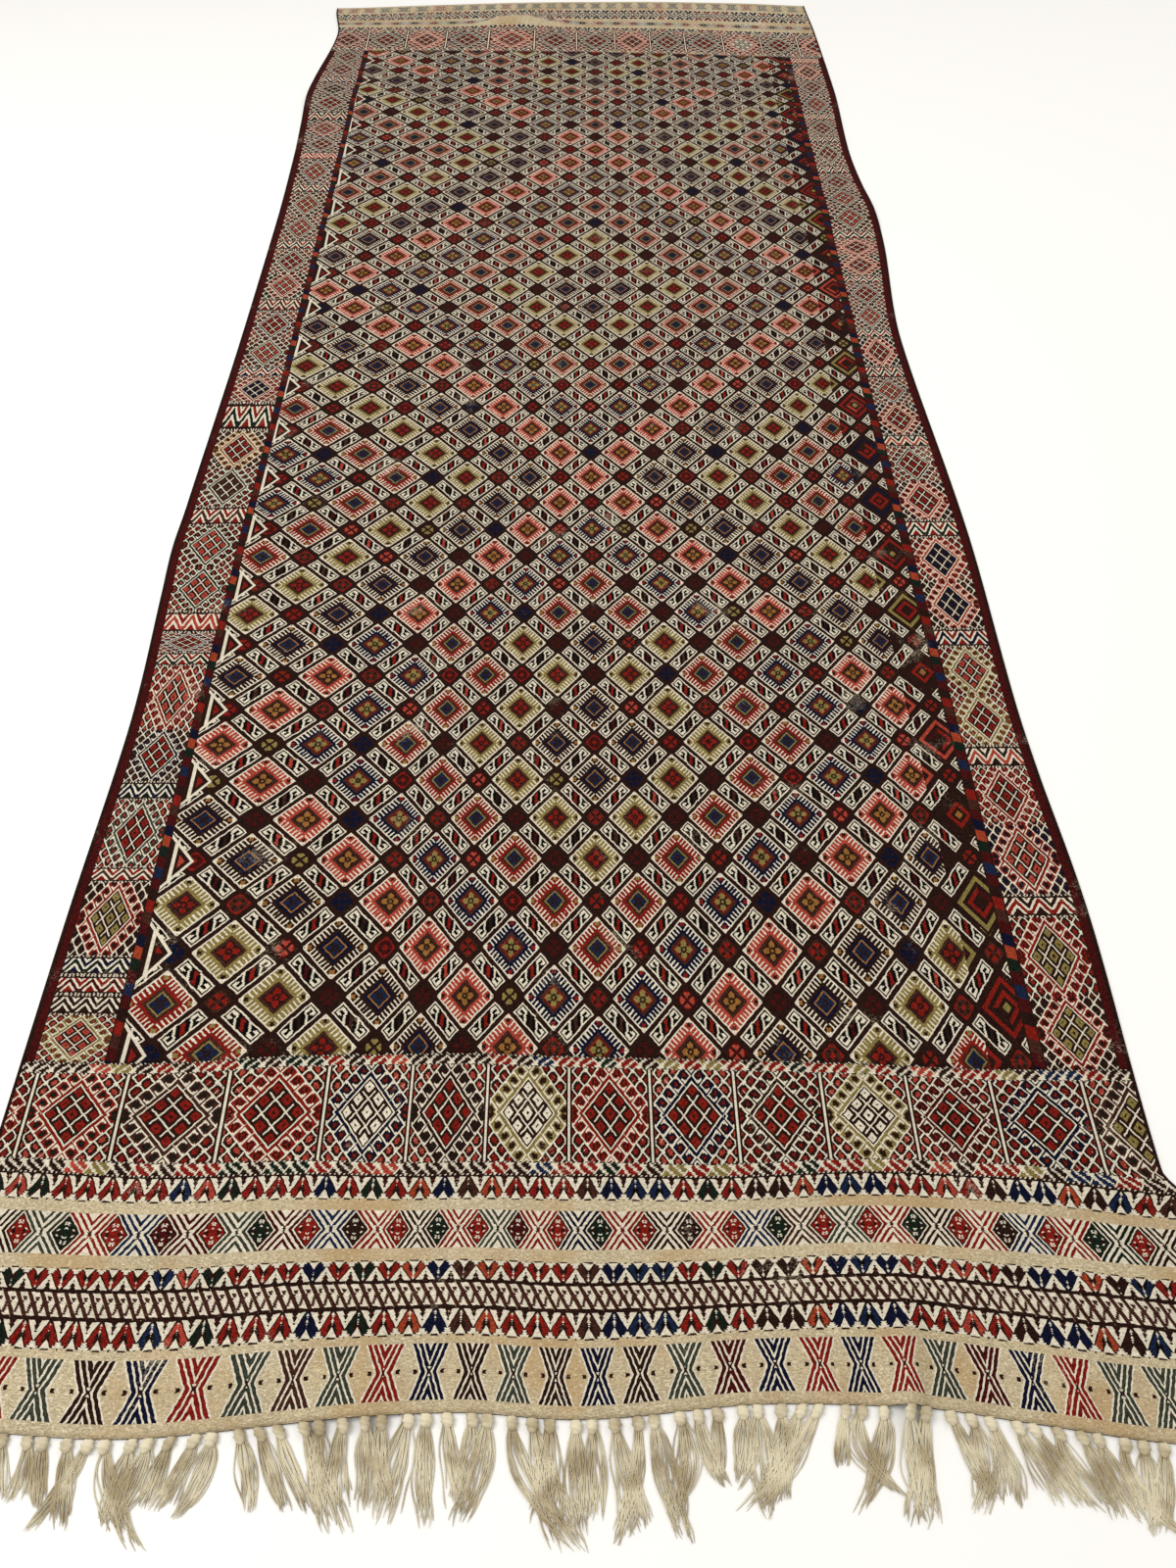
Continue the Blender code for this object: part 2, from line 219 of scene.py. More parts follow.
# ---- yarns ------------------------------------------------------------------------------------------
# The dyed wools, each with its letter and its colour as a screen shows it. Their order is the order of
# their numbers in the charts, whose first three cells stand for the first three wools.
Yarn = namedtuple("Yarn", "letter red green blue")
YARNS = [
    Yarn("c", 190, 173, 139),   # cream ground
    Yarn("w", 218, 207, 184),   # white
    Yarn("k", 38, 20, 15),      # dark brown
    Yarn("z", 12, 8, 7),        # black
    Yarn("r", 120, 26, 18),     # madder red
    Yarn("m", 64, 15, 14),      # maroon
    Yarn("p", 158, 60, 46),     # coral
    Yarn("n", 14, 17, 38),      # navy
    Yarn("b", 23, 33, 58),      # blue
    Yarn("y", 128, 112, 62),    # yellow-green
    Yarn("s", 54, 58, 48),      # grey-green
    Yarn("g", 18, 30, 22),      # dark green
    Yarn("o", 140, 95, 46),     # ochre
    Yarn("t", 62, 34, 26),      # brown
    Yarn("u", 38, 17, 25),      # dark purple
    Yarn("a", 148, 58, 34),     # orange
]


def wool(letter):
    """The number of the wool with this letter."""
    return float([yarn.letter for yarn in YARNS].index(letter))


def linear_colour(red, green, blue):
    """A screen colour, 0 to 255 a channel, as the light it stands for: the standard screen curve."""
    parts = np.array([red, green, blue]) / 255.0
    light = np.where(parts <= 0.04045, parts / 12.92, ((parts + 0.055) / 1.055) ** 2.4)
    return (*(float(part) for part in light), 1.0)


# ---- charts -----------------------------------------------------------------------------------------
# One character is one cell, and the first row of a chart is the row nearest its motif's middle, or
# nearest the rug's near end. Each motif mirrors its chart. A chart's legend gives its characters in
# the order of their roles: cream ground, white, dark brown, and then up to five yarns of its own.
Chart = namedtuple("Chart", "legend rows")

# The field's lattice. Its cells lie along the diamonds' own slanting sides. The left half is a quarter
# of a comb-edged diamond, a row for each step outwards from its middle, and the columns run along its
# side from the side's own middle. The right half is what lies between two such diamonds: its rows run
# from the middle of a small diamond to the middle of a hooked bar, whose other half is this one turned.
LATTICE = Chart("gw.eabcd", [
    "c..............." ".......aa.......",
    "................" "......caac......",
    ".ccc............" ".....cc..cc.....",
    ".cccc..........." "....ccc..ccc....",
    "..cccc.........." "...aacc..ccaa...",
    "aaaaaaaaaaaaaaaa" "...aaaaaaaaaa...",
    "bbbbbbbbbbbbbbbb" "................",
    "bbbbbbbbbbbbbbbb" "................",
    "eeeeeeeeeeeeeeee" "................",
    "eeeeeeeeeeeeeeee" "................",
    "weeweeweeweeeeee" "...wwwwwwwwww...",
    "weeweeweeweeaaee" "...wggggggggw...",
    "weeweeweeweaaaee" "...wgwwwwwwgw...",
    "weeweeweeweeaawe" "...wgwwggwwgw...",
    "weeweeweeweeewwe" "...wgwwggwwgw...",
    "wwwwwwwwwwwwwwww" "...wggwggwwgw...",
    "................" "...wgggggwwgw...",
    "................" "...wgggwwwggw...",
    "................" "...wggwwggggw...",
    "................" "...wgwwgggggw...",
    "................" "...wwwggggdgw...",
    "................" "...wwggggddgw...",
    "................" "...wggggdddgw...",
    "................" "...wgggddddgw...",
])

# A hooked medallion, its cells along the slanting sides as well. The left half is its middle, by steps
# outwards and along the side. The right half is one of the hooks round it, from the coloured band out
# to the corner of the panel, and is repeated along the side.
MEDALLION = Chart("ow.bhacd", [
    "caaccwccaacaacww" "bbbbbbbb........",
    "aaaccwccaaaaacww" "bbbbbbbb........",
    "aaaccwccaaaaacww" "wwwwwwwb........",
    "cccccwccccccccww" "wbbbbwwb........",
    "cccccwccccccccww" "wb...bwb........",
    "wwwwwwwwwwwwccww" "wb.h.bwb........",
    "cccccwccccccccww" "wb.hh.bb........",
    "cccccwccccccccww" "wb.h..bb........",
    "aaaccwccaaaaacww" "wbb..bbb........",
    "aaaccwccaaaaacww" "wwbbbbbb........",
    "caaccwccaacaacww" "wwwwwwww........",
    "aaaccwccaaaaacww" "...w............",
    "aaacccccaaaaacww" "d..w..dd........",
    "ccccccccccccccww" "dd.w.ddd........",
    "wwwwwwwwwwwwwwww" "d..w..dd........",
    "................" "...w............",
    "................" "..www...........",
    "................" "wwwwwwww........",
    "................" "...w............",
    "................" "dd.w..dd........",
    "................" "dd.w.ddd........",
    "................" "d..w..dd........",
    "................" "...w............",
    "................" "wwwwwwww........",
    "................" "d..w..dd........",
    "................" "dd.w.ddd........",
    "................" "...w............",
    "................" "wwwwwwww........",
    "................" "................",
])

# Two crosses of parallel strokes: the outer row's on plain cream, and the inner row's with a
# hexagon between each two. The cells lean with the strokes, so that a stroke is an upright line of
# cells here, and the rows run outwards from the cross's middle.
OUTER_CROSS = Chart("owk#", [
    "w##w##w#kw##wokkoooo",
    "w##w##ww#w##wooooooo",
    "w##w##w##w##wooooooo",
    "w##w##w##w##wooooooo",
    "w##w##w##w##wooooooo",
    "w##w##w##w##wooooooo",
    "w##w##w##w##wooooooo",
    "w##w##w##w##wooooooo",
    "w##w##w##w##wooooooo",
    "w##w##w##w##wooooooo",
    "w##w##w##w##wooooooo",
    "w##w##w##w##wooooooo",
    "w##w##w##w##wooooooo",
])
INNER_CROSS = Chart("owk#d", [
    "www##ww#kww##wkddkkddd",
    "www##ww#www##wkdwddddd",
    "www##ww##ww##wkddddwdd",
    "www##ww##ww##wkdddddww",
    "www##ww##ww##wkddwdddd",
    "www##ww##ww##wkdwddddd",
    "www##ww##ww##wkddddddd",
    "www##ww##ww##wkddddddd",
    "www##ww##ww##wkddddddd",
    "www##ww##ww##wkddddddd",
    "www##ww##ww##wkddddddd",
    "www##ww##ww##wkddddddd",
])

# Hearts in a row, from the dark line that their points stand on to the dashes on the cream. Here and
# in the two charts after it the cells lean with the outer strokes, so that those are upright lines.
HEARTS = Chart("owk#ab", [
    "kkkkkkkkkkkkkkkkk",
    "wwwwwwww##wwwwkkk",
    "wwwwwwwwa#wwwwkbk",
    "wwwwwwwaa#wwwkkbb",
    "wwwwwwaaa#wwwkbbb",
    "wwwwwwaaa#wwwkkkk",
    "wwwww#aaa#wwkkkkk",
    "wwww##aaa#wwwwwww",
    "www###aaa#wwwwwww",
    "www##aaaa#wwwwwww",
    "www##aaaa#wwwwwww",
    "www#aaa#wwwwwwwww",
    "www#aa#wwwwwwwwww",
    "www##wwwwwwwwwwww",
    "kkoooookkkkkkkkkk",
])

# The zigzag between the rows of hearts.
ZIGZAG = Chart("owk#", [
    "kkkkkkkk",
    "###wwwww",
    "#####www",
    "###w##ww",
    "###ww##w",
    "###www##",
    "###wwww#",
    "####wwww",
    "###w##ww",
    "###w###w",
    "###wwwww",
    "###wwwww",
    "kkkkkkkk",
])

# Slanting colour blocks, and the nested chevrons of the side borders.
BLOCKS = Chart("owkab", [
    "kkwkkwkkwkkwkk",
    "waaaaaawwaaaaa",
    "waaaawwaaaaaaw",
    "waaawwaaaaawwa",
    "wawwaaaaawwaaa",
    "wwwaaaaawwaaaa",
    "wwaaaawwaaaaaw",
    "waaawwaaaaawww",
    "waawwaaaaawwww",
    "kkwkkwkkwkkwkk",
])
CHEVRONS = Chart("owkab", [
    "kwkkwkkwk",
    "kkkkkkkkk",
    "aaaawwbbb",
    "aaawwbbbb",
    "aawwbbbww",
    "awwbbbwwa",
    "wwbbbwwaa",
    "wbbbwwaaa",
    "bbbwwaaaw",
    "bbwwaaaww",
    "bwwaaawwb",
    "kkkkkkkkk",
    "kwkkwkkwk",
])

ROLES = 8                       # how many kinds of cell a chart may have
CELLS_TO_A_CHANNEL = 8          # a channel's 24 bits hold eight cells of three bits


# ---- shader threads ---------------------------------------------------------------------------------
class Thread:
    """A value on its way from one shader node to others. Sums of threads make Math nodes."""

    def __init__(self, tree, socket):
        self.tree = tree
        self.socket = socket

    def __add__(self, other):
        return calculate("ADD", self, other)

    def __radd__(self, other):
        return calculate("ADD", other, self)

    def __sub__(self, other):
        return calculate("SUBTRACT", self, other)

    def __rsub__(self, other):
        return calculate("SUBTRACT", other, self)

    def __mul__(self, other):
        return calculate("MULTIPLY", self, other)

    def __rmul__(self, other):
        return calculate("MULTIPLY", other, self)

    def __gt__(self, other):
        return calculate("GREATER_THAN", self, other)

    def __lt__(self, other):
        return calculate("LESS_THAN", self, other)

    def __mod__(self, other):
        return calculate("FLOORED_MODULO", self, other)


def tie(socket, source):
    """Sets a socket to a plain value, or links it to a thread."""
    if isinstance(source, Thread):
        source.tree.links.new(source.socket, socket)
    else:
        socket.default_value = source


def new_node(tree, kind, *sources, **settings):
    """A shader node with its settings made, and its first inputs tied to the sources."""
    node = tree.nodes.new("ShaderNode" + kind)
    for name, value in settings.items():
        setattr(node, name, value)
    for socket, source in zip(node.inputs, sources):
        tie(socket, source)
    return node


def calculate(operation, *sources):
    """A Math node on threads and plain numbers."""
    tree = next(source.tree for source in sources if isinstance(source, Thread))
    return Thread(tree, new_node(tree, "Math", *sources, operation=operation).outputs[0])


def floor(source):
    """The whole number at or below a value."""
    return calculate("FLOOR", source)


def equals(source, number):
    """One where a whole-numbered thread has this number, and nought elsewhere."""
    return calculate("COMPARE", source, number, 0.5)


def choose(which, no, yes):
    """The second number where the mask is one, and the first where it is nought."""
    return calculate("MULTIPLY_ADD", which, yes - no, no)


def smooth_step(source, low, high):
    """A mask that rises smoothly from nought at the low value to one at the high one."""
    node = new_node(source.tree, "MapRange", source, low, high, interpolation_type="SMOOTHSTEP")
    return Thread(source.tree, node.outputs["Result"])


def mix_colour(tree, part, first, second, blend="MIX"):
    """A Mix node between two colours."""
    node = new_node(tree, "Mix", part, data_type="RGBA", blend_type=blend)
    for socket, source in zip([socket for socket in node.inputs if socket.type == "RGBA"], (first, second)):
        tie(socket, source)
    return Thread(tree, [socket for socket in node.outputs if socket.type == "RGBA"][0])


def grey(tree, level):
    """A grey colour of a thread's level."""
    return Thread(tree, new_node(tree, "CombineColor", level, level, level).outputs["Color"])


def bumped(tree, height, distance, strength):
    """The normal of a surface with this relief."""
    node = new_node(tree, "Bump")
    for label, source in (("Height", height), ("Distance", distance), ("Strength", strength)):
        tie(node.inputs[label], source)
    return Thread(tree, node.outputs["Normal"])


def split_threads(tree, socket):
    """The three numbers of a vector."""
    node = new_node(tree, "SeparateXYZ", Thread(tree, socket))
    return [Thread(tree, output) for output in node.outputs]


def joined(tree, *numbers):
    """A vector of threads or plain numbers."""
    return Thread(tree, new_node(tree, "CombineXYZ", *numbers).outputs["Vector"])


def map_threads(tree, name):
    """A UV map's two coordinates."""
    return split_threads(tree, new_node(tree, "UVMap", uv_map=name).outputs["UV"])[:2]


def attribute_threads(tree, name):
    """The three numbers of a mesh attribute."""
    return split_threads(tree, new_node(tree, "Attribute", attribute_name=name).outputs["Vector"])


Grain = namedtuple("Grain", "scale detail roughness")


def noise(tree, across, along, grain):
    """Noise about 0.5, on two coordinates."""
    node = new_node(tree, "TexNoise", joined(tree, across, along), 0.0, *grain, noise_dimensions="2D")
    return Thread(tree, node.outputs["Fac"])


def scatter(tree, *places):
    """A different number between nought and one for each whole-numbered place."""
    node = new_node(tree, "TexWhiteNoise", joined(tree, *places), noise_dimensions="3D")
    return Thread(tree, node.outputs["Value"])


def stepped_ramp(tree, stops, place):
    """A Color Ramp that holds each of its colours for an equal part, read at a whole number."""
    node = new_node(tree, "ValToRGB")
    ramp = node.color_ramp
    ramp.interpolation = "CONSTANT"
    while len(ramp.elements) < len(stops):
        ramp.elements.new(1.0)
    for index, stop in enumerate(stops):
        ramp.elements[index].position = index / len(stops)
        ramp.elements[index].color = stop
    tie(node.inputs["Fac"], (place + 0.5) * (1.0 / len(stops)))
    return [Thread(tree, socket) for socket in node.outputs]


def channels_of(tree, colour, alpha):
    """The four channels of a ramp's colour."""
    return [Thread(tree, socket) for socket in new_node(tree, "SeparateColor", colour).outputs] + [alpha]


def new_group(name, inputs, outputs):
    """A shader node group. Gives the group, its inputs as threads, and its output node."""
    group = bpy.data.node_groups.new(name, "ShaderNodeTree")
    for label, kind, value in inputs:
        group.interface.new_socket(label, in_out="INPUT", socket_type=kind).default_value = value
    for label, kind in outputs:
        group.interface.new_socket(label, in_out="OUTPUT", socket_type=kind)
    source = group.nodes.new("NodeGroupInput")
    threads = [Thread(group, source.outputs[label]) for label, _, _ in inputs]
    return group, threads, group.nodes.new("NodeGroupOutput")


def use_group(tree, group, *sources):
    """A group placed in a tree, with its inputs tied in order. Gives its outputs as threads."""
    node = new_node(tree, "Group", *sources, node_tree=group)
    return [Thread(tree, socket) for socket in node.outputs]


# ---- looking up charts ------------------------------------------------------------------------------
def packed_rows(chart):
    """A chart's rows as ramp colours: each channel is a fraction in base eight, a digit to a cell."""
    width = 4 * CELLS_TO_A_CHANNEL
    cells = np.array([[chart.legend.index(cell) for cell in row.ljust(width, chart.legend[0])]
                      for row in chart.rows])
    places = float(ROLES) ** -np.arange(1, CELLS_TO_A_CHANNEL + 1)
    return (cells.reshape(len(chart.rows), 4, CELLS_TO_A_CHANNEL) * places).sum(axis=2).tolist()


def make_cell_reader():
    """The group that takes one cell out of a packed row: it shifts the digit up and drops the rest."""
    group, (row, alpha, column_number), output = new_group(
        "cell_of_a_row",
        [("Row", "NodeSocketColor", (0, 0, 0, 1)), ("Row end", "NodeSocketFloat", 0.0),
         ("Column", "NodeSocketFloat", 0.0)],
        [("Role", "NodeSocketFloat")])
    channel = floor(column_number * (1.0 / CELLS_TO_A_CHANNEL))
    parts = enumerate(channels_of(group, row, alpha))
    packed = sum(part * equals(channel, number) for number, part in parts)
    place = column_number - channel * float(CELLS_TO_A_CHANNEL)
    steps = [(float(ROLES) ** (k + 1 - CELLS_TO_A_CHANNEL),) * 4 for k in range(CELLS_TO_A_CHANNEL)]
    shift = stepped_ramp(group, steps, place)[1]
    shifted = floor(packed * (shift * float(ROLES) ** CELLS_TO_A_CHANNEL))
    role = shifted - floor(shifted * (1.0 / ROLES)) * float(ROLES)
    tie(output.inputs["Role"], role)
    return group


def make_dye():
    """The group that gives a cell its yarn's colour, by its role and the motif's own yarns."""
    labels = ["Ground", "Third", "Fourth", "Fifth", "Sixth", "Seventh"]
    group, (role, ground, *own), output = new_group(
        "dyed_yarn",
        [("Role", "NodeSocketFloat", 0.0)] + [(label, "NodeSocketFloat", 0.0) for label in labels],
        [("Color", "NodeSocketColor")])
    number = role * (role < 2.5) + ground * equals(role, 0.0)
    for index, yarn in enumerate(own):
        number = number + equals(role, float(index + 3)) * yarn
    colours = [linear_colour(yarn.red, yarn.green, yarn.blue) for yarn in YARNS]
    tie(output.inputs["Color"], stepped_ramp(group, colours, number)[0])
    return group


RIB = 0.0011                    # from one weft to the next
WEAR = 0.3                      # how far the rubbed patches lose their colour
RUBBED = (196, 182, 154)
SOILED = (158, 126, 82)
PALE = (226, 216, 192)
FIBRE = Grain(900.0, 1.0, 0.5)
STREAKS = Grain(1.0, 2.0, 0.6)
STREAK_SCALES = (55.0, 900.0)   # a yarn's shade changes slowly along the weft and fast across it
PATCHES = Grain(9.0, 4.0, 0.65)
SOIL = Grain(5.5, 3.0, 0.6)
FLECKS = Grain(1.0, 2.0, 0.7)
FLECK_SCALES = (160.0, 420.0)
RELIEF = 0.0006
RELIEF_STRENGTH = 0.7


def make_weave():
    """The group that turns dyed cells into wool: shade, wear, dust and the relief of the wefts.

    The relief is the wefts' ribs, dipping between the warps that they pass under. A raised cell is
    brocaded, and stands a little over the plain cream. The shade is the product of the yarn's streaks
    and patches, which are its own tone, of the rib, which paints shade into the colour where the
    wefts dip and where they pass under the warps, and of each stitch's own chance, which dark wools
    show most.
    """
    group, (colour, raised, wear), output = new_group(
        "woven_wool",
        [("Color", "NodeSocketColor", (0.5, 0.5, 0.5, 1)), ("Raised", "NodeSocketFloat", 1.0),
         ("Wear", "NodeSocketFloat", WEAR)],
        [("Color", "NodeSocketColor"), ("Roughness", "NodeSocketFloat"), ("Normal", "NodeSocketVector")])
    across, along = map_threads(group, "cloth")
    weft_number = floor(along * (1.0 / RIB))
    warp_place = across * (1.0 / CELL) + 0.5 * weft_number
    weft = calculate("PINGPONG", along * (1.0 / RIB), 0.5) * 2.0
    warp = calculate("PINGPONG", warp_place, 0.5) * 2.0
    rib = calculate("SQRT", weft) * (0.55 + 0.45 * calculate("SQRT", warp))
    stitch = scatter(group, floor(warp_place), weft_number)
    fibre = noise(group, across, along, FIBRE)
    streaks = noise(group, across * STREAK_SCALES[0], along * STREAK_SCALES[1], STREAKS)
    patches = noise(group, across, along, PATCHES)
    lightness = Thread(group, new_node(group, "RGBToBW", colour).outputs["Val"])
    unevenness = 1.25 - 1.05 * calculate("SQRT", lightness)
    speckle = 1.0 + unevenness * (stitch - 0.5)
    # The rib's factor is painted shade: the colour darkens in the grooves between the wefts and where they
    # pass under the warps.
    shade = (0.66 + 0.34 * streaks + 0.30 * patches) * (0.36 + 0.74 * rib) * speckle
    shaded = mix_colour(group, 1.0, colour, grey(group, shade), "MULTIPLY")
    rubbed = smooth_step(patches * 0.9 + 0.22 * stitch, 0.74, 0.88) * wear
    soil = noise(group, across, along, SOIL)
    flecks = noise(group, across * FLECK_SCALES[0], along * FLECK_SCALES[1], FLECKS)
    soiled = smooth_step(soil + 0.35 * flecks, 0.60, 0.86) * (1.0 - raised) * 0.6
    pale = smooth_step(flecks - 0.2 * soil, 0.44, 0.62) * (1.0 - raised) * 0.5
    for mask, tint in ((rubbed, RUBBED), (soiled, SOILED), (pale, PALE)):
        shaded = mix_colour(group, mask, shaded, linear_colour(*tint))
    height = rib * 0.8 + fibre * 0.2 + stitch * 0.3 + raised * 0.6
    tie(output.inputs["Color"], shaded)
    tie(output.inputs["Roughness"], 0.97 - 0.10 * rib)
    tie(output.inputs["Normal"], bumped(group, height, RELIEF, RELIEF_STRENGTH))
    return group


HAND_FINE = Grain(190.0, 0.0, 0.5)
HAND_SLOW = Grain(28.0, 0.0, 0.5)
HAND_ROWS = Grain(90.0, 1.0, 0.5)


def make_hand():
    """The group for the hand's unevenness: how far the pattern wanders across and along, in cells."""
    group, _, output = new_group("hand", [], [("Across", "NodeSocketFloat"), ("Along", "NodeSocketFloat")])
    across, along = map_threads(group, "cloth")
    fine = noise(group, across, along, HAND_FINE)
    slow = noise(group, across, along, HAND_SLOW)
    rows = noise(group, across + 5.0, along, HAND_ROWS)
    tie(output.inputs["Across"], (fine - 0.5) * 0.7 + (slow - 0.5) * 1.2)
    tie(output.inputs["Along"], (rows - 0.5) * 1.2)
    return group


HAND = make_hand()
CELL_READER = make_cell_reader()
DYE = make_dye()
WEAVE = make_weave()


def chart_cell(tree, chart, column, row, slant=0.0):
    """The role of the chart's cell at a place counted in cells.

    The hand's unevenness is added first. A cell leans by the slant, so that its two ends meet the
    cells of the rows beside it and a slanting line of cells has even sides.
    """
    wobble_across, wobble_along = use_group(tree, HAND)
    row = calculate("MAXIMUM", row + wobble_along, 0.0)
    row_number = floor(row)
    column = column + wobble_across + slant * (row - row_number - 0.5)
    column_number = calculate("MAXIMUM", floor(column), 0.0)
    packed, end = stepped_ramp(tree, packed_rows(chart), row_number)
    return use_group(tree, CELL_READER, packed, end, column_number)[0]


def mirrored(motif, half_width):
    """Cells from the nearest whole number of a place in motif units, with so many to half a motif."""
    return calculate("PINGPONG", motif, 0.5) * (2.0 * half_width)


def order_of_yarns(tree, orders, motif):
    """The yarns of the motif at a whole number: each order is a string of yarn letters."""
    longest = max(len(order) for order in orders)
    letters = [order.ljust(longest, "k") for order in orders] + ["c" * longest] * (4 - len(orders))
    columns = [[wool(letter) / len(YARNS) for letter in order] for order in letters]
    channels = channels_of(tree, *stepped_ramp(tree, list(zip(*columns)), motif))
    return [channel * float(len(YARNS)) for channel in channels[:len(orders)]]


def new_material(name):
    """An empty wool material. Gives it with its tree and its shader."""
    material = bpy.data.materials.new(name)
    material.use_nodes = True
    shader = material.node_tree.nodes["Principled BSDF"]
    shader.inputs["Metallic"].default_value = 0.0
    shader.inputs["Specular IOR Level"].default_value = 0.03
    return material, material.node_tree, shader


def woven_material(name, plan):
    """A wool material. Its plan gives the role of a place, how far the yarn there is raised, and the
    yarns of the roles. The dye group colours them, and the weave group makes wool of the colour.
    """
    material, tree, shader = new_material(name)
    role, raised, *yarns = plan(tree)
    colour = use_group(tree, DYE, role, *yarns)[0]
    woven = use_group(tree, WEAVE, colour, raised, WEAR)
    for label, source in zip(("Base Color", "Roughness", "Normal"), woven):
        tie(shader.inputs[label], source)
    return material


# ---- the plans of the bands -------------------------------------------------------------------------
WHITE, BROWN, THIRD, FOURTH, SEVENTH = 1.0, 2.0, 3.0, 4.0, 7.0      # roles
IN_BROCADE = 0.5                # roles above this are brocaded on the ground

LATTICE_HALF = 24.0             # cells from the middle of a bar to that of a diamond
COMB_REACH = 16.0               # cells from a comb-edged diamond's middle to its white edge's far side
MIDDLE_LINE = 49.0              # the number of the lattice's middle line
TURNING_ROW = 47.0              # a row at which the rings of colour are drawn closest together
RING_REACH = 9.0                # rows from there to where they lie widest
RING_START = 3.5                # sets which of the colours the middle ring has
RING_ORDER = "yrnpk"            # comb colours from the middle ring outwards
RING_OUTLINE = "kyrko"
RING_GROUND = "ttttn"
RING_BLOCKS = "rbyob"
LOZENGE_ORDER = "rrmrrpktrk"    # and the colours that are drawn by lot
SMALL_ORDERS = ("mrtymrnpmr", "kmrkrknmkt")

LEFT_LINE = 40.0                # left of this line, triangles fill the gaps between the diamonds
RIGHT_LINE = 57.3               # and right of this one the half diamonds are plain nested rings
TRIANGLE_SLOPE = 1.26           # how steep the triangles' sides are, in rows to a line
TRIANGLE_OUTLINE = 0.09         # from a triangle's side to the inner edge of its white outline
TRIANGLE_GROUND = 0.22          # and to that of the dark ground in it
TRIANGLE_BASES = ((0.30, BROWN), (0.36, WHITE), (0.43, BROWN))      # where each starts, and its role
NESTED_RINGS = ((11.0, 14.0, THIRD), (5.0, 8.0, SEVENTH), (-1.0, 2.5, FOURTH))


def with_left_triangles(role, across, along):
    """The roles, with a white-edged triangle between each two diamonds of the field's left edge.

    A triangle's point is on the lattice's left line. Past it, a place is inside by its distance from
    the line times the slope, less its distance along from the point.
    """
    beyond = LEFT_LINE - across
    inwards = TRIANGLE_SLOPE * beyond - calculate("PINGPONG", along, 1.0)
    inside = choose(inwards > TRIANGLE_GROUND, BROWN, SEVENTH)
    for start, base_role in TRIANGLE_BASES:
        inside = choose(beyond > start, inside, base_role)
    inside = choose(inwards < TRIANGLE_OUTLINE, inside, WHITE)
    return choose((inwards > 0.0) * (beyond > 0.0), role, inside)


def nested_rings(step):
    """The roles of the rings nested about a diamond's middle, by the step outwards from it."""
    role = BROWN
    for start, end, ring_role in NESTED_RINGS:
        role = role + (step > start) * (step < end) * (ring_role - BROWN)
    return role


def lattice(tree):
    """The field: comb-edged diamonds, small diamonds and hooked bars, in rings of colour.

    Between two lines and two rows lies one hooked bar, slanting the one way or the other. The sum of
    a place's parts of a line and a row is its reach along the bar, and their difference its side.
    """
    across, along = map_threads(tree, "motif")
    step, row = floor(across), floor(along)
    odd = (step + row) % 2.0
    part, rise = across - step, along - row
    part = choose(odd, part, 1.0 - part)
    side = (part - rise + 1.0) * LATTICE_HALF
    reach = (part + rise) * LATTICE_HALF
    turned, right = reach > LATTICE_HALF, side > LATTICE_HALF
    from_bar = calculate("ABSOLUTE", side - LATTICE_HALF)
    in_comb = from_bar > LATTICE_HALF - COMB_REACH
    along_edge = calculate("ABSOLUTE", reach - LATTICE_HALF) + 0.5
    column = choose(in_comb, choose(turned, side, 2.0 * LATTICE_HALF - side), along_edge)
    chart_row = choose(in_comb, choose(turned, reach, 2.0 * LATTICE_HALF - reach), LATTICE_HALF - from_bar)
    role = with_left_triangles(chart_cell(tree, LATTICE, column, chart_row), across, along)
    role = choose(in_comb * (across > RIGHT_LINE), role, nested_rings(chart_row))

    comb_step = step + choose(odd, right, 1.0 - right)
    comb_row = row + 1.0 - right
    ring = calculate("ABSOLUTE", comb_step - MIDDLE_LINE)
    ring = ring + calculate("PINGPONG", comb_row - TURNING_ROW, RING_REACH)
    orders = (RING_ORDER, RING_OUTLINE, RING_GROUND, RING_BLOCKS)
    number_of_ring = floor(ring * 0.5 + RING_START) % float(len(RING_ORDER))
    comb, outline, ground, blocks = order_of_yarns(tree, orders, number_of_ring)
    lozenge = order_of_yarns(tree, [LOZENGE_ORDER], lot(tree, LOZENGE_ORDER, step, row, 3.0))[0]
    small = lot(tree, SMALL_ORDERS[0], step + choose(odd, turned, 1.0 - turned), row + turned, 7.0)
    small_blocks, small_outline = order_of_yarns(tree, SMALL_ORDERS, small)
    return (role, 1.0, wool("z"), comb, choose(in_comb, small_outline, outline), ground,
            choose(in_comb, small_blocks, blocks), lozenge)


def lot(tree, order, *places):
    """A whole number drawn by lot for each whole-numbered place, one for each letter of the order."""
    return floor(scatter(tree, *places) * float(len(order)))


# The yarns of the end medallions, from left to right, the near end's and then the far end's: their
# hooks, the hooks' middles, the small diamonds inside, and the corners.
END_MEDALLION_YARNS = ("rrtrnkyrnkymnt" "rgpnpugpunpgp",
                       "rggrrgkrrrkrrg" "rrprrprrgrnrk",
                       "yrrrwrwrrrwrry" "rrrrprrrrrwrr",
                       "rprppprrprpprp" "ppppppppppppp")
MEDALLION_HALF = 22.5           # cells from the medallion's middle to the white bar's
BAR_HALF = 0.6                  # half the white bar's width
BAR_EDGE = 1.7                  # and half of it with its dark edges
MIDDLE_REACH = 15.0             # cells from the medallion's middle to its hooks
HOOK_PITCH = 8.0
HOOK_START = 1.0
HOOK_COLUMN = 16.0              # the chart's first column of the hook


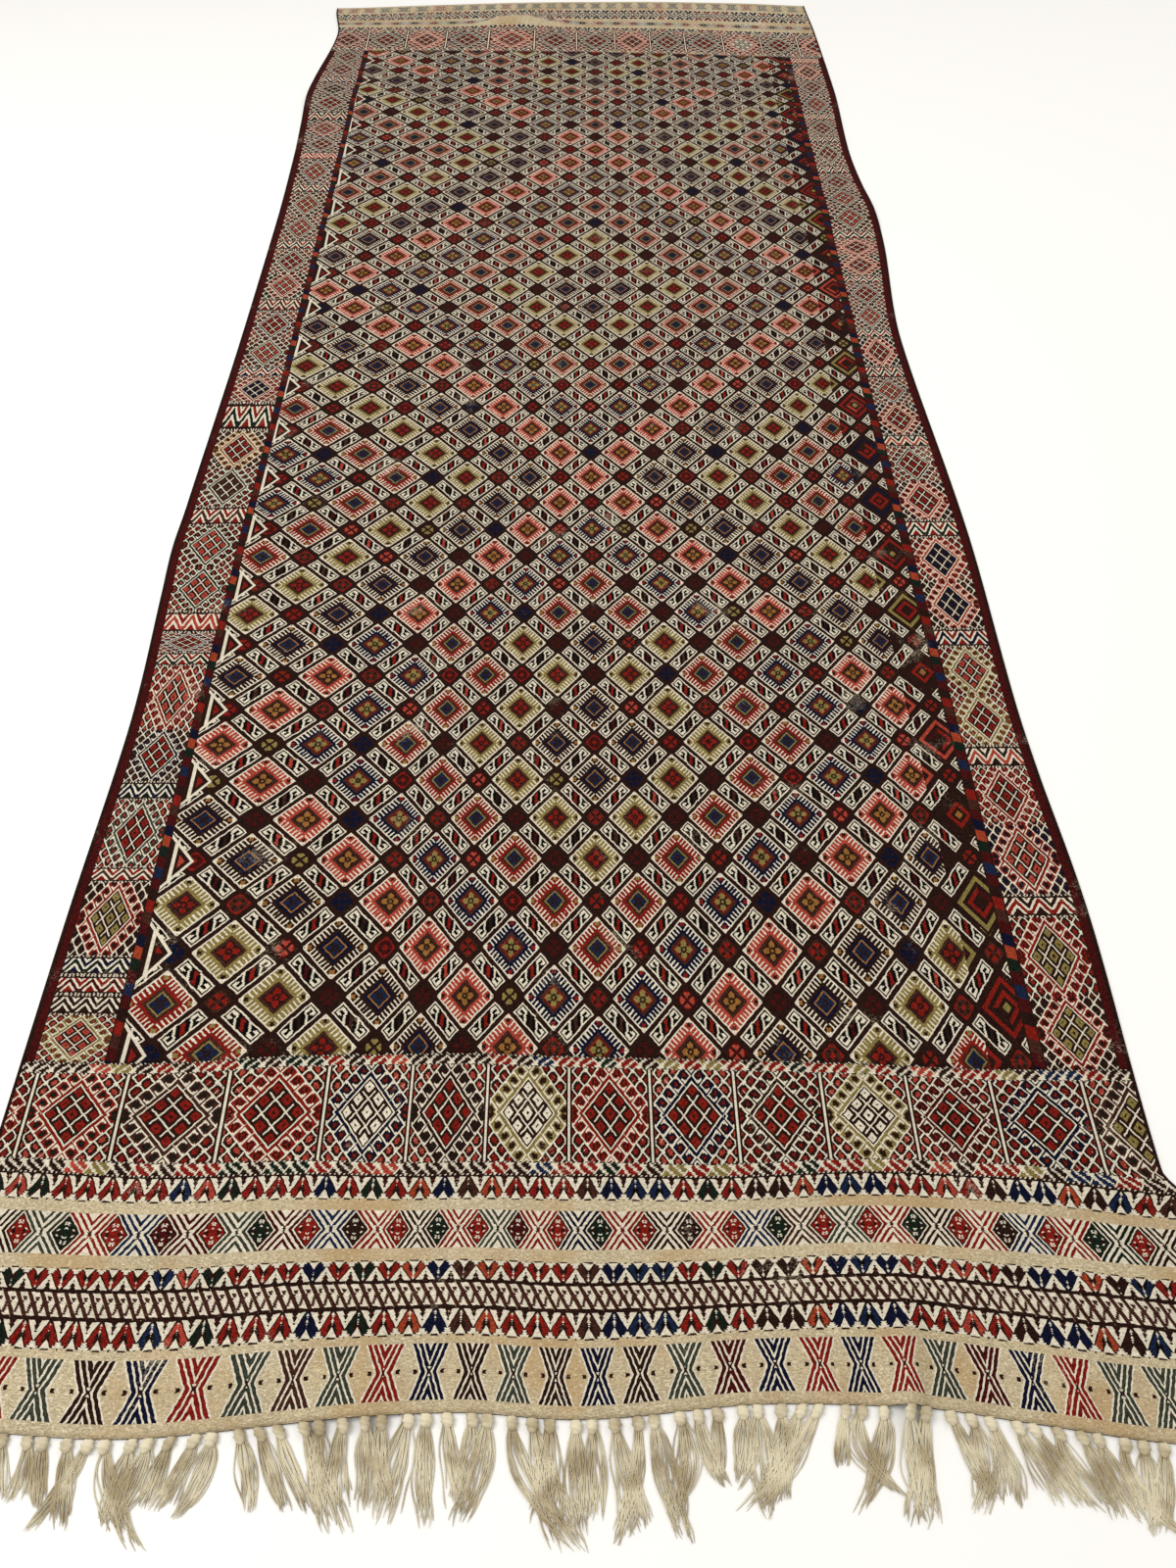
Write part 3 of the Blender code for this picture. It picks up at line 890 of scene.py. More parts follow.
def medallion_role(tree, across, along):
    """The role of a place in a medallion's panel, counted in cells from its middle both ways.

    The sum of the two is the step outwards from the middle, and their difference the place along the
    side.
    """
    outwards, sideways = across + along, across - along
    outside = outwards > MIDDLE_REACH
    hook = (sideways + HOOK_START) % HOOK_PITCH + HOOK_COLUMN
    column = choose(outside, calculate("ABSOLUTE", sideways), hook)
    return chart_cell(tree, MEDALLION, column, outwards - outside * MIDDLE_REACH)


def end_medallions(tree):
    """The wide border across an end: hooked medallions between white bars."""
    across, along = map_threads(tree, "motif")
    column = mirrored(across, MEDALLION_HALF)
    role = medallion_role(tree, column, calculate("ABSOLUTE", along))
    role = choose(column > MEDALLION_HALF - BAR_EDGE, role, BROWN)
    role = choose(column > MEDALLION_HALF - BAR_HALF, role, WHITE)
    hooks, centres, ground, corners = order_of_yarns(tree, END_MEDALLION_YARNS, floor(across + 0.5))
    return role, 1.0, wool("c"), hooks, centres, ground, wool("k"), corners


def side_medallions(tree):
    """The side borders' medallions. Each panel's faces carry the numbers of its yarns."""
    across, along = map_threads(tree, "motif")
    role = medallion_role(tree, calculate("ABSOLUTE", across), calculate("ABSOLUTE", along))
    hooks, centres, ground = attribute_threads(tree, "yarns")
    return role, 1.0, wool("c"), hooks, centres, ground, wool("k"), centres


CHEVRON_HALF = 8.0              # cells from a chevron's middle to its side


def side_bands(tree):
    """The bands between the side borders' medallions: nested chevrons."""
    across, along = map_threads(tree, "motif")
    role = chart_cell(tree, CHEVRONS, mirrored(across, CHEVRON_HALF) + 0.5, along, 1.0)
    first, second, _ = attribute_threads(tree, "yarns")
    return role, 1.0, wool("c"), first, second


GUARD_ORDER = "anmtrkmbmg"
GUARD_LEAN = 0.35               # how far a guard's blocks lean, in blocks over its width
GUARD_RIM = 0.12                # of its width, at both sides


def guards(tree):
    """The narrow guard stripes: slanting blocks of colour between dark rims."""
    across, along = map_threads(tree, "motif")
    block = floor(along + across * GUARD_LEAN) % float(len(GUARD_ORDER))
    blocks = order_of_yarns(tree, [GUARD_ORDER], block)[0]
    rim = (across < GUARD_RIM) + (across > 1.0 - GUARD_RIM)
    return THIRD, 1.0, 0.0, choose(rim, blocks, wool("k"))


BLOCK_ORDER = "rbkrkkrykrgkrkprykrk"
BLOCK_CELLS = 14.0
BLOCK_LEAN = 0.05               # how far a block leans, in its own widths to a row


def slanting_blocks(tree):
    """The stripes of slanting colour blocks at both sides of an end's medallions."""
    across, along = map_threads(tree, "motif")
    leaning = across - BLOCK_LEAN * along
    motif = floor(leaning)
    role = chart_cell(tree, BLOCKS, (leaning - motif) * BLOCK_CELLS, along)
    first = order_of_yarns(tree, [BLOCK_ORDER], lot(tree, BLOCK_ORDER, motif, 1.0))[0]
    return role, 1.0, wool("c"), first, wool("k")


HEART_ORDERS = ("kkkzkkkknk", "rtabrgrpnk", "kwrkkrkwrk")      # outlines, insides, and between them
HEART_HALF = 7.9                # cells from a heart's middle to the next one's edge
HEART_LEAN = 0.66               # how far a heart's sides lean, in cells to a row
HEART_COLUMN = 9.0              # the chart's column at a heart's point
ZIGZAG_CELLS = 8.0
ZIGZAG_LEAN = -0.095            # in the zigzag's own repeats to a row


def hearts(tree):
    """The rows of nested hearts."""
    across, along = map_threads(tree, "motif")
    column = mirrored(across, HEART_HALF) - HEART_LEAN * along + HEART_COLUMN
    role = chart_cell(tree, HEARTS, column, along)
    chance = lot(tree, HEART_ORDERS[0], floor(across + 0.5), 2.0)
    return role, role > IN_BROCADE, wool("c"), *order_of_yarns(tree, HEART_ORDERS, chance)


def zigzag(tree):
    """The brown zigzag between two rows of hearts."""
    across, along = map_threads(tree, "motif")
    leaning = across - ZIGZAG_LEAN * along
    role = chart_cell(tree, ZIGZAG, (leaning - floor(leaning)) * ZIGZAG_CELLS, along)
    return role, role > IN_BROCADE, wool("c"), wool("t")


CROSS_HALF = 13.0               # cells from a cross's middle to the next one's edge
CROSS_COLUMN = 8.3              # the chart's column at the middle of a cross
OUTER_CROSS_ORDERS = ["rrsknrstsrnksknksmnrnrsmnrss"]
INNER_CROSS_ORDERS = ["skksrbmsmbrkrsrnrkrbtsrkrbrgk", "rrrgrmrgrkrgrmrgrkrgrrgrkrgrr"]


def crosses(chart, orders, lean, fineness):
    """The plan of a row of crosses on plain cream. Their strokes lean, by so many cells to a row."""
    def plan(tree):
        across, along = map_threads(tree, "motif")
        row = calculate("ABSOLUTE", along)
        column = (mirrored(across, CROSS_HALF) - lean * row) * fineness + CROSS_COLUMN
        role = chart_cell(tree, chart, column, row)
        strokes = order_of_yarns(tree, orders[:1], floor(across + 0.5))
        between = order_of_yarns(tree, orders[1:], floor(across)) if orders[1:] else []
        return role, role > IN_BROCADE, wool("c"), *strokes, *between
    return plan


def plain(letter, raised=1.0):
    """The plan of plain weave in one yarn. Where nothing is brocaded over it, it shows its stains."""
    return lambda tree: (THIRD, raised, 0.0, wool(letter))


MATERIALS = {
    "plain": woven_material("plain_cream", plain("c", 0.0)),
    "lattice": woven_material("lattice_brocade", lattice),
    "guard": woven_material("guard_stripes", guards),
    "side_medallion": woven_material("side_medallions", side_medallions),
    "side_band": woven_material("side_bands", side_bands),
    "end_medallions": woven_material("end_medallions", end_medallions),
    "blocks": woven_material("slanting_blocks", slanting_blocks),
    "hearts": woven_material("heart_rows", hearts),
    "zigzag": woven_material("zigzag_row", zigzag),
    "outer_crosses": woven_material(
        "outer_crosses", crosses(OUTER_CROSS, OUTER_CROSS_ORDERS, 0.50, 0.88)),
    "inner_crosses": woven_material(
        "inner_crosses", crosses(INNER_CROSS, INNER_CROSS_ORDERS, 0.75, 1.04)),
    "selvage": woven_material("selvage_binding", plain("k")),
    "reverse": woven_material("reverse_of_the_weave", plain("t")),
}
MATERIAL_ORDER = list(MATERIALS)

# ---- where the bands lie ----------------------------------------------------------------------------
# Bands right across an end, by woven distance. A band's rows are counted from its low edge to its high
# one, the other way where it is flipped, or from its middle where it is mirrored.
Band = namedtuple("Band", "low high material rows style")
NEAR_BANDS = [
    Band(0.000, 0.014, "plain", 1, "up"),
    Band(0.014, 0.074, "outer_crosses", 13.5, "mirrored"),
    Band(0.074, 0.082, "plain", 1, "up"),
    Band(0.082, 0.114, "hearts", 15, "down"),
    Band(0.114, 0.145, "zigzag", 13, "up"),
    Band(0.145, 0.172, "hearts", 15, "up"),
    Band(0.172, 0.187, "plain", 1, "up"),
    Band(0.187, 0.237, "inner_crosses", 11.5, "mirrored"),
    Band(0.237, 0.2505, "plain", 1, "up"),
    Band(0.2505, 0.284, "hearts", 15, "down"),
    Band(0.284, 0.303, "blocks", 10, "up"),
    Band(0.303, 0.435, "end_medallions", 20, "mirrored"),
    Band(0.435, 0.452, "blocks", 10, "down"),
]
FAR_BANDS = [
    Band(4.010, 4.028, "blocks", 10, "up"),
    Band(4.028, 4.160, "end_medallions", 20, "mirrored"),
    Band(4.160, 4.175, "blocks", 10, "down"),
    Band(4.175, 4.197, "hearts", 15, "up"),
    Band(4.197, 4.217, "plain", 1, "up"),
    Band(4.217, 4.245, "inner_crosses", 11.5, "mirrored"),
    Band(4.245, 4.264, "plain", 1, "up"),
    Band(4.264, 4.287, "hearts", 15, "down"),
    Band(4.287, 4.310, "zigzag", 13, "up"),
    Band(4.310, 4.333, "hearts", 15, "up"),
    Band(4.333, 4.346, "plain", 1, "up"),
    Band(4.346, 4.388, "outer_crosses", 13.5, "mirrored"),
    Band(4.388, 4.400, "plain", 1, "up"),
]

# How far apart the motifs of a row stand, and how far left of the middle line its first one does.
FIRST_MOTIF = 0.85
SPACING = {
    "plain": 0.05,
    "outer_crosses": 0.0530,
    "inner_crosses": 0.0560,
    "hearts": 0.0320,
    "zigzag": 0.0155,
    "blocks": 0.0300,
}
# Where the crosses stand: some of their numbers, and their places across.
CROSS_NUMBERS = {"outer_crosses": [-3.0, 1.0, 5.0, 9.0, 14.0, 18.0, 21.0, 28.0],
                 "inner_crosses": [-2.0, 2.0, 6.0, 9.0, 14.0, 18.0, 21.0, 28.0]}
CROSS_PLACES = {"outer_crosses": [-0.873, -0.655, -0.401, -0.181, 0.076, 0.297, 0.447, 0.815],
                "inner_crosses": [-0.935, -0.701, -0.445, -0.261, 0.001, 0.234, 0.413, 0.820]}

# The white bars of the two medallion borders, from left to right.
NEAR_BARS = [-0.890, -0.766, -0.634, -0.492, -0.352, -0.233, -0.126, -0.011,
             0.103, 0.222, 0.345, 0.466, 0.584, 0.714, 0.840]
FAR_BARS = [-0.826, -0.690, -0.560, -0.427, -0.285, -0.131, 0.010,
            0.137, 0.255, 0.371, 0.497, 0.623, 0.745, 0.870]

# The lattice's lines: their numbers across, with their places at four woven distances, and their
# numbers along.
LATTICE_LINES = [0, 2, 4, 6, 9, 12, 14, 16, 18]
LATTICE_PLACES = {
    0.80: [-0.616, -0.445, -0.292, -0.166, 0.032, 0.230, 0.368, 0.508, 0.636],
    2.10: [-0.631, -0.463, -0.305, -0.160, 0.035, 0.240, 0.376, 0.508, 0.634],
    2.70: [-0.624, -0.466, -0.318, -0.165, 0.055, 0.256, 0.392, 0.528, 0.666],
    3.93: [-0.650, -0.480, -0.318, -0.158, 0.071, 0.279, 0.413, 0.550, 0.675],
}
FIRST_LINE = 40.0               # what the numbers of the tables' first line and row stand for
ROW_LINES = [0, 1, 2, 3, 5, 7, 14, 20, 27, 33, 38, 43]
ROW_PLACES = [0.463, 0.545, 0.631, 0.717, 0.882, 1.044, 1.612, 2.118, 2.704, 3.230, 3.635, 4.004]

# The edges of the field, and what lies outside it.
FIELD_STATIONS = [0.45, 2.10, 3.00, 4.01]
FIELD_LEFT = [-0.660, -0.664, -0.670, -0.678]
FIELD_RIGHT = [0.652, 0.660, 0.674, 0.688]
LEFT_GUARD = 0.016
RIGHT_GUARD = 0.020
OUTER_GUARD = 0.014
SELVAGE = 0.005
Guard = namedtuple("Guard", "zone blocks_to_a_metre first_block")
GUARDS = [
    Guard("left_guard", 48.0, 0.0),
    Guard("right_guard", 48.0, 0.0),
    Guard("left_outer", 0.0, 2.3),
    Guard("right_outer", 0.0, 2.3),
]

# The side borders, from the near end. A panel is a medallion or a band, and has its high end and its
# yarns.
Panel = namedtuple("Panel", "kind high yarns")
PANEL_KINDS = {"m": "side_medallion", "b": "side_band"}


def read_panels(*rows):
    """Panels from rows such as "m 0.526 ypp"."""
    parts = [row.split() for row in rows]
    return [Panel(PANEL_KINDS[kind], float(high), yarns) for kind, high, yarns in parts]


LEFT_PANELS = read_panels(
    "m 0.526 ypp", "b 0.560 kkk", "b 0.592 rmk", "b 0.626 ngk", "m 0.760 rky", "b 0.790 rtk",
    "m 0.925 spr", "b 0.965 gnk", "m 1.080 ntr", "m 1.235 rpp", "b 1.270 rgk", "m 1.320 bpr",
    "b 1.380 rpk", "m 1.500 gpp", "m 1.625 grp", "b 1.690 rtk", "m 1.820 srt", "m 1.950 otr",
    "b 2.060 rgk", "m 2.160 rpn", "b 2.200 nrk", "m 2.320 grp", "m 2.440 npr", "b 2.500 rtk",
    "m 2.620 rgp", "m 2.740 gpr", "b 2.790 rgk", "m 2.920 gpp", "m 3.050 gra", "b 3.105 rgk",
    "m 3.250 nrp", "b 3.300 rpk", "m 3.400 nrr", "m 3.500 rnp", "b 3.560 grk", "m 3.660 mtr",
    "m 3.760 mrt", "b 3.810 rnk", "m 3.910 upr", "m 4.010 gpr")
RIGHT_PANELS = read_panels(
    "m 0.560 rky", "m 0.690 rry", "b 0.730 krg", "m 0.860 rnp", "m 0.980 rpr", "b 1.030 kpr",
    "m 1.150 ypr", "m 1.270 yrp", "b 1.320 rnk", "m 1.450 pkn", "m 1.580 prn", "b 1.635 rgk",
    "m 1.760 pur", "m 1.880 upr", "b 1.925 gpk", "m 2.040 anr", "m 2.140 nap", "b 2.190 rgk",
    "m 2.310 pnr", "b 2.350 nrk", "m 2.460 nrp", "m 2.560 npr", "b 2.600 rgk", "m 2.700 pgr",
    "m 2.785 ppr", "b 2.830 rgk", "m 2.950 grp", "m 3.060 urp", "m 3.155 upr", "b 3.210 rgk",
    "m 3.350 gpr", "b 3.400 rnk", "m 3.510 gpr", "b 3.560 pgk", "m 3.710 nrp", "m 3.830 npr",
    "m 3.955 pgr", "b 4.010 prk")
MEDALLION_CELLS = (22.0, 18.0)  # from a side medallion's middle to its panel's side and end
CHEVRONS_ACROSS = 1.5           # from the middle of a side band to its side
TINY = 1e-6
INSIDE = 0.001                  # rows of a chart, to stay within its last one


def woven_stations(low, high):
    """The rows of a length's grid: every edge of a band or panel in it, with even steps between."""
    edges = [band.low for band in NEAR_BANDS + FAR_BANDS]
    edges += [panel.high for panel in LEFT_PANELS + RIGHT_PANELS]
    inside = sorted({low, high} | {edge for edge in edges if low + TINY < edge < high - TINY})
    runs = [np.linspace(start, end, max(1, math.ceil((end - start) / GRID_STEP)), endpoint=False)
            for start, end in zip(inside[:-1], inside[1:])]
    return np.concatenate(runs + [[high]])


# The columns of a length's grid are set out in zones. Each zone's edges are places across the rug.
ZONES = ["left_selvage", "left_outer", "left_border", "left_guard", "field",
         "right_guard", "right_border", "right_outer", "right_selvage"]
ZONE_STEPS = [1, 2, 11, 2, 146, 2, 11, 2, 1]


def zone_edges(woven):
    """Places across the rug of the zones' edges, one row for each woven distance."""
    left, right = side_reach(woven, "left"), side_reach(woven, "right")
    field_left = np.interp(woven, FIELD_STATIONS, FIELD_LEFT)
    field_right = np.interp(woven, FIELD_STATIONS, FIELD_RIGHT)
    return np.stack([
        -left, -left + SELVAGE, -left + SELVAGE + OUTER_GUARD,
        field_left - LEFT_GUARD, field_left, field_right, field_right + RIGHT_GUARD,
        right - SELVAGE - OUTER_GUARD, right - SELVAGE, right], axis=1)


def across_grid(woven):
    """Places across the rug of a grid's columns, and each zone's first column."""
    edges = zone_edges(woven)
    firsts = np.concatenate([[0], np.cumsum(ZONE_STEPS)])
    parts = np.concatenate([np.linspace(index, index + 1, steps, endpoint=False)
                            for index, steps in enumerate(ZONE_STEPS)] + [[len(ZONE_STEPS)]])
    low = np.minimum(parts.astype(int), len(ZONE_STEPS) - 1)
    across = edges[:, low] + (edges[:, low + 1] - edges[:, low]) * (parts - low)
    return across, firsts


def run_on(at, stations, values):
    """Reads a table between its rows along straight lines, which run on beyond its ends."""
    stations, values = np.array(stations), np.array(values, dtype=float)
    row = np.clip(np.searchsorted(stations, at) - 1, 0, len(stations) - 2)
    slope = (values[row + 1] - values[row]) / (stations[row + 1] - stations[row])
    return values[row] + (at - stations[row]) * slope


def lattice_place(across, woven):
    """The field's motif coordinates: the numbers of its lines and rows, read from their tables."""
    places = np.array(list(LATTICE_PLACES.values())).T
    lines = np.stack([np.interp(woven[:, 0], list(LATTICE_PLACES), line) for line in places], axis=1)
    numbers = np.stack([run_on(row, line, LATTICE_LINES) for row, line in zip(across, lines)])
    along = run_on(np.minimum(woven, ROW_PLACES[-1]), ROW_PLACES, ROW_LINES)
    return numbers + FIRST_LINE, along + FIRST_LINE


def band_place(band, across, woven):
    """An end band's motif coordinates: its motifs' numbers across, and its rows along."""
    part = (woven - band.low) / (band.high - band.low)
    if band.material == "end_medallions":
        bars, first = (NEAR_BARS, 0) if band in NEAR_BANDS else (FAR_BARS, len(NEAR_BARS) - 1)
        motif = np.interp(across, bars, first + np.arange(len(bars))) - 0.5
    elif band.material in CROSS_PLACES:
        motif = np.interp(across, CROSS_PLACES[band.material], CROSS_NUMBERS[band.material]) + 1.0
    else:
        motif = (across + FIRST_MOTIF) / SPACING[band.material]
    if band.style == "mirrored":
        rows = (2.0 * part - 1.0) * (band.rows - 0.5)
    elif band.style == "down":
        rows = (1.0 - part) * band.rows
    else:
        rows = part * band.rows
    return motif, np.clip(rows, 0.5 - band.rows, band.rows - INSIDE)


def guard_place(guard, across, woven):
    """A guard's motif coordinates: the part of its width, and its blocks along."""
    part = (across - across[:, :1]) / (across[:, -1:] - across[:, :1])
    return part, woven * guard.blocks_to_a_metre + guard.first_block


def panel_place(panel, low, across, woven):
    """A side panel's motif coordinates: cells from the middle of the border and of the panel."""
    part = (woven - low) / (panel.high - low)
    middle = 0.5 * (across[:, :1] + across[:, -1:])
    reach = (across - middle) / (across[:, -1:] - middle)
    if panel.kind == "side_medallion":
        return reach * MEDALLION_CELLS[0], (2.0 * part - 1.0) * MEDALLION_CELLS[1]
    rows = len(CHEVRONS.rows)
    return reach * CHEVRONS_ACROSS, np.clip(part * rows, 0.0, rows - INSIDE)


# ---- the cloth's lengths ----------------------------------------------------------------------------
def grid_corners(rows, columns):
    """The four corners of each cell of a grid of points, as numbers of its points."""
    index = np.arange(rows * columns).reshape(rows, columns)
    corners = [index[:-1, :-1], index[:-1, 1:], index[1:, 1:], index[1:, :-1]]
    return np.stack(corners, axis=-1).reshape(-1, 4)


def corners_of(values):
    """Values at the points of a grid, as one row of four for each of its cells."""
    return values.ravel()[grid_corners(*values.shape)]


def weave_plan(woven, across, firsts):
    """For each cell of a length's grid: its material, its motif coordinates, and its yarns."""
    rows, columns = len(woven) - 1, across.shape[1] - 1
    kinds = np.zeros((rows, columns), dtype=int)
    motif = np.zeros((rows, columns, 4, 2))
    yarns = np.zeros((rows, columns, 3))
    woven_grid = np.repeat(woven[:, None], columns + 1, axis=1)

    def lay(low, high, column_part, kind, place, letters=""):
        """Fills the cells between two woven distances, if this length has them.

        Their corners' motif coordinates come from the place function.
        """
        start, stop = np.searchsorted(woven, np.clip([low, high], woven[0], woven[-1]) - TINY)
        if start == stop:
            return
        cells = (slice(start, stop), column_part)
        points = (slice(start, stop + 1), slice(column_part.start, column_part.stop + 1))
        kinds[cells] = MATERIAL_ORDER.index(kind)
        shape = kinds[cells].shape + (4,)
        values = place(across[points], woven_grid[points])
        motif[cells] = np.stack([corners_of(value).reshape(shape) for value in values], axis=-1)
        if letters:
            yarns[cells] = [wool(letter) for letter in letters]

    for band in NEAR_BANDS + FAR_BANDS:
        lay(band.low, band.high, slice(0, columns), band.material, partial(band_place, band))
    zones = {name: slice(first, last) for name, first, last in zip(ZONES, firsts[:-1], firsts[1:])}
    body_low, body_high = NEAR_BANDS[-1].high, FAR_BANDS[0].low
    lay(body_low, body_high, zones["field"], "lattice", lattice_place)
    for guard in GUARDS:
        lay(body_low, body_high, zones[guard.zone], "guard", partial(guard_place, guard))
    for name, panels in (("left_border", LEFT_PANELS), ("right_border", RIGHT_PANELS)):
        low = body_low
        for panel in panels:
            lay(low, panel.high, zones[name], panel.kind, partial(panel_place, panel, low), panel.yarns)
            low = panel.high
    for name in ("left_selvage", "right_selvage"):
        kinds[:, zones[name]] = MATERIAL_ORDER.index("selvage")
    return kinds, motif, yarns


# Of the square that a length's colours are baked to: the upper side's share, the underside's, and the
# walls' strips between them.
TOP_SHARE = 0.76
UNDER_SHARE = 0.22
FIRST_STRIP = 0.223
STRIP_PITCH = 0.0035
STRIP_WIDTH = 0.003


def bake_places(across, woven_grid, rims):
    """Where the corners of a length's faces lie in the square that its colours are baked to."""
    part_across = corners_of((across - across.min()) / (across.max() - across.min()))
    part_along = corners_of((woven_grid - woven_grid.min()) / (woven_grid.max() - woven_grid.min()))
    top = np.stack([part_across, 1.0 - TOP_SHARE * (1.0 - part_along)], axis=-1)
    under = np.stack([part_across, UNDER_SHARE * part_along], axis=-1)
    strips = []
    for number, rim in enumerate(rims):
        steps = np.linspace(0.0, 1.0, len(rim))
        low = np.full(len(rim) - 1, FIRST_STRIP + number * STRIP_PITCH)
        corners = [(steps[:-1], low), (steps[1:], low),
                   (steps[1:], low + STRIP_WIDTH), (steps[:-1], low + STRIP_WIDTH)]
        strips.append(np.stack([np.stack(corner, axis=-1) for corner in corners], axis=1))
    return np.concatenate([top, under[:, ::-1]] + strips)


def make_length(name, low, high):
    """One woven length of the cloth: its upper side, its underside and the thin walls between.

    The points are the cloth's surface at each row and column of the pattern's grid, once at the
    underside and once a thickness higher. The walls join their rims.
    """
    woven = woven_stations(low, high)
    across, firsts = across_grid(woven)
    side = np.where(across < 0.0, side_reach(woven, "left")[:, None], side_reach(woven, "right")[:, None])
    woven_grid = np.repeat(woven[:, None], across.shape[1], axis=1)
    under = np.stack(cloth_surface(across / side, woven_grid), axis=-1).reshape(-1, 3)
    over = under + [0.0, 0.0, CLOTH_THICKNESS]
    cells = grid_corners(*across.shape)
    index = np.arange(across.size).reshape(across.shape)
    rims = [index[0, :], index[:, -1], index[-1, ::-1], index[::-1, 0]]
    walls = np.concatenate([
        np.stack([rim[:-1], rim[1:], rim[1:] + len(under), rim[:-1] + len(under)], axis=1) for rim in rims])
    faces = np.concatenate([cells + len(under), cells[:, ::-1], walls])
    piece = new_piece(name, np.concatenate([under, over]), faces)
    mesh = piece.data

    kinds, motif, yarns = weave_plan(woven, across, firsts)
    place = np.stack([across.ravel(), woven_grid.ravel()], axis=-1)
    top_motif = motif.reshape(-1, 4, 2)
    maps = {"cloth": place[faces % len(under)],
            "motif": np.concatenate([top_motif, top_motif[:, ::-1], np.zeros((len(walls), 4, 2))]),
            "OFBake": bake_places(across, woven_grid, rims)}
    for label, values in maps.items():
        mesh.uv_layers.new(name=label).data.foreach_set("uv", values.astype(np.float32).ravel())
    face_yarns = np.concatenate([yarns.reshape(-1, 3)] * 2 + [np.zeros((len(walls), 3))])
    mesh.attributes.new("yarns", "FLOAT_VECTOR", "FACE").data.foreach_set(
        "vector", face_yarns.astype(np.float32).ravel())

    reverse, selvage = (MATERIAL_ORDER.index(kind) for kind in ("reverse", "selvage"))
    face_kinds = np.concatenate([kinds.ravel(), np.full(len(cells), reverse), np.full(len(walls), selvage)])
    used = np.unique(face_kinds)
    for kind in used:
        mesh.materials.append(MATERIALS[MATERIAL_ORDER[kind]])
    mesh.polygons.foreach_set("material_index", np.searchsorted(used, face_kinds).astype(np.int32))
    mesh.polygons.foreach_set("use_smooth", np.arange(len(faces)) < 2 * len(cells))
    return piece


def add_object(name, data):
    """A new object in the scene, with its mesh, light or camera."""
    new_object = bpy.data.objects.new(name, data)
    bpy.context.scene.collection.objects.link(new_object)
    return new_object


def new_piece(name, points, *face_groups):
    """A named, smooth mesh object from points in rug coordinates and its faces' corners.

    The faces of one group have the same number of corners.
    """
    corners = np.concatenate([faces.ravel() for faces in face_groups]).astype(np.int32)
    sizes = np.concatenate([np.full(len(faces), faces.shape[1]) for faces in face_groups])
    mesh = bpy.data.meshes.new(name)
    mesh.vertices.add(len(points))
    mesh.vertices.foreach_set("co", (points + RUG_PLACE).astype(np.float32).ravel())
    mesh.loops.add(len(corners))
    mesh.loops.foreach_set("vertex_index", corners)
    mesh.polygons.add(len(sizes))
    mesh.polygons.foreach_set("loop_start", (np.cumsum(sizes) - sizes).astype(np.int32))
    mesh.polygons.foreach_set("use_smooth", np.ones(len(sizes), dtype=bool))
    mesh.update(calc_edges=True)
    mesh.validate()
    return add_object(name, mesh)


# ---- the fringe -------------------------------------------------------------------------------------
TASSELS = 66
TASSEL_INSET = 0.012            # from the rug's sides to the outermost tassels' middles
TASSEL_DRIFT = 0.0036           # how far the tassels stray, but for those at the sides
STEADY_FROM = 0.78
KNOT_LENGTH = 0.016
KNOT_HALF_WIDTH = 0.0074
KNOT_HEIGHT = 0.0095
KNOT_GAP = 0.0006               # from the cloth's edge
KNOT_RINGS, KNOT_SIDES = 15, 14
TURNS = 2.6                     # of the yarn wound round a knot
TURN_RELIEF = 0.13              # how far they stand out, as a part of the knot's radius
YARNS_TO_A_TASSEL = 22
YARN_RADIUS = 0.0008
YARN_SIDES = 4
YARN_STEPS = 12
BUNDLE = 0.0052                 # half the width of a tassel's yarns at the cloth's edge
WAIST = 0.0014                  # and how much less it is in the middle of the knot
LEAN_STRAY = 9.0                # degrees
REACH_STRAY = (0.85, 1.12)      # parts of the comb table's reach
MOST_REACH = 0.128
SPREAD = (0.05, 0.17)           # how far a tassel opens, as a part of its reach
CURL_STRAY = 0.35
RANK_STRAY = 0.25
LENGTHS = (0.72, 1.0)           # parts of the tassel's reach
SWAY = (0.0010, 0.0045)
SWAY_DISTANCE = 0.13            # past the knot, over which a yarn's waves are counted
SETTLING = 0.018                # past the edge, over which the yarns come down

# How the tassels lie, for some places across the rug: their lean in degrees, and their reach.
Comb = namedtuple("Comb", "across lean reach")
COMBS = [
    Comb(-0.80, -6, 0.060),
    Comb(-0.64, 6, 0.062),
    Comb(-0.54, -4, 0.095),
    Comb(-0.46, -22, 0.052),
    Comb(-0.42, 8, 0.072),
    Comb(-0.37, 30, 0.078),
    Comb(-0.31, 13, 0.098),
    Comb(-0.23, 3, 0.080),
    Comb(-0.18, 7, 0.098),
    Comb(-0.13, 14, 0.068),
    Comb(-0.09, 6, 0.120),
    Comb(0.00, 4, 0.100),
    Comb(0.08, 3, 0.112),
    Comb(0.17, 10, 0.062),
    Comb(0.21, 4, 0.092),
    Comb(0.29, -24, 0.100),
    Comb(0.32, -6, 0.058),
    Comb(0.40, -6, 0.120),
    Comb(0.45, 8, 0.086),
    Comb(0.52, 18, 0.088),
    Comb(0.58, 22, 0.068),
    Comb(0.63, 6, 0.088),
    Comb(0.69, -6, 0.084),
    Comb(0.82, 8, 0.076),
]


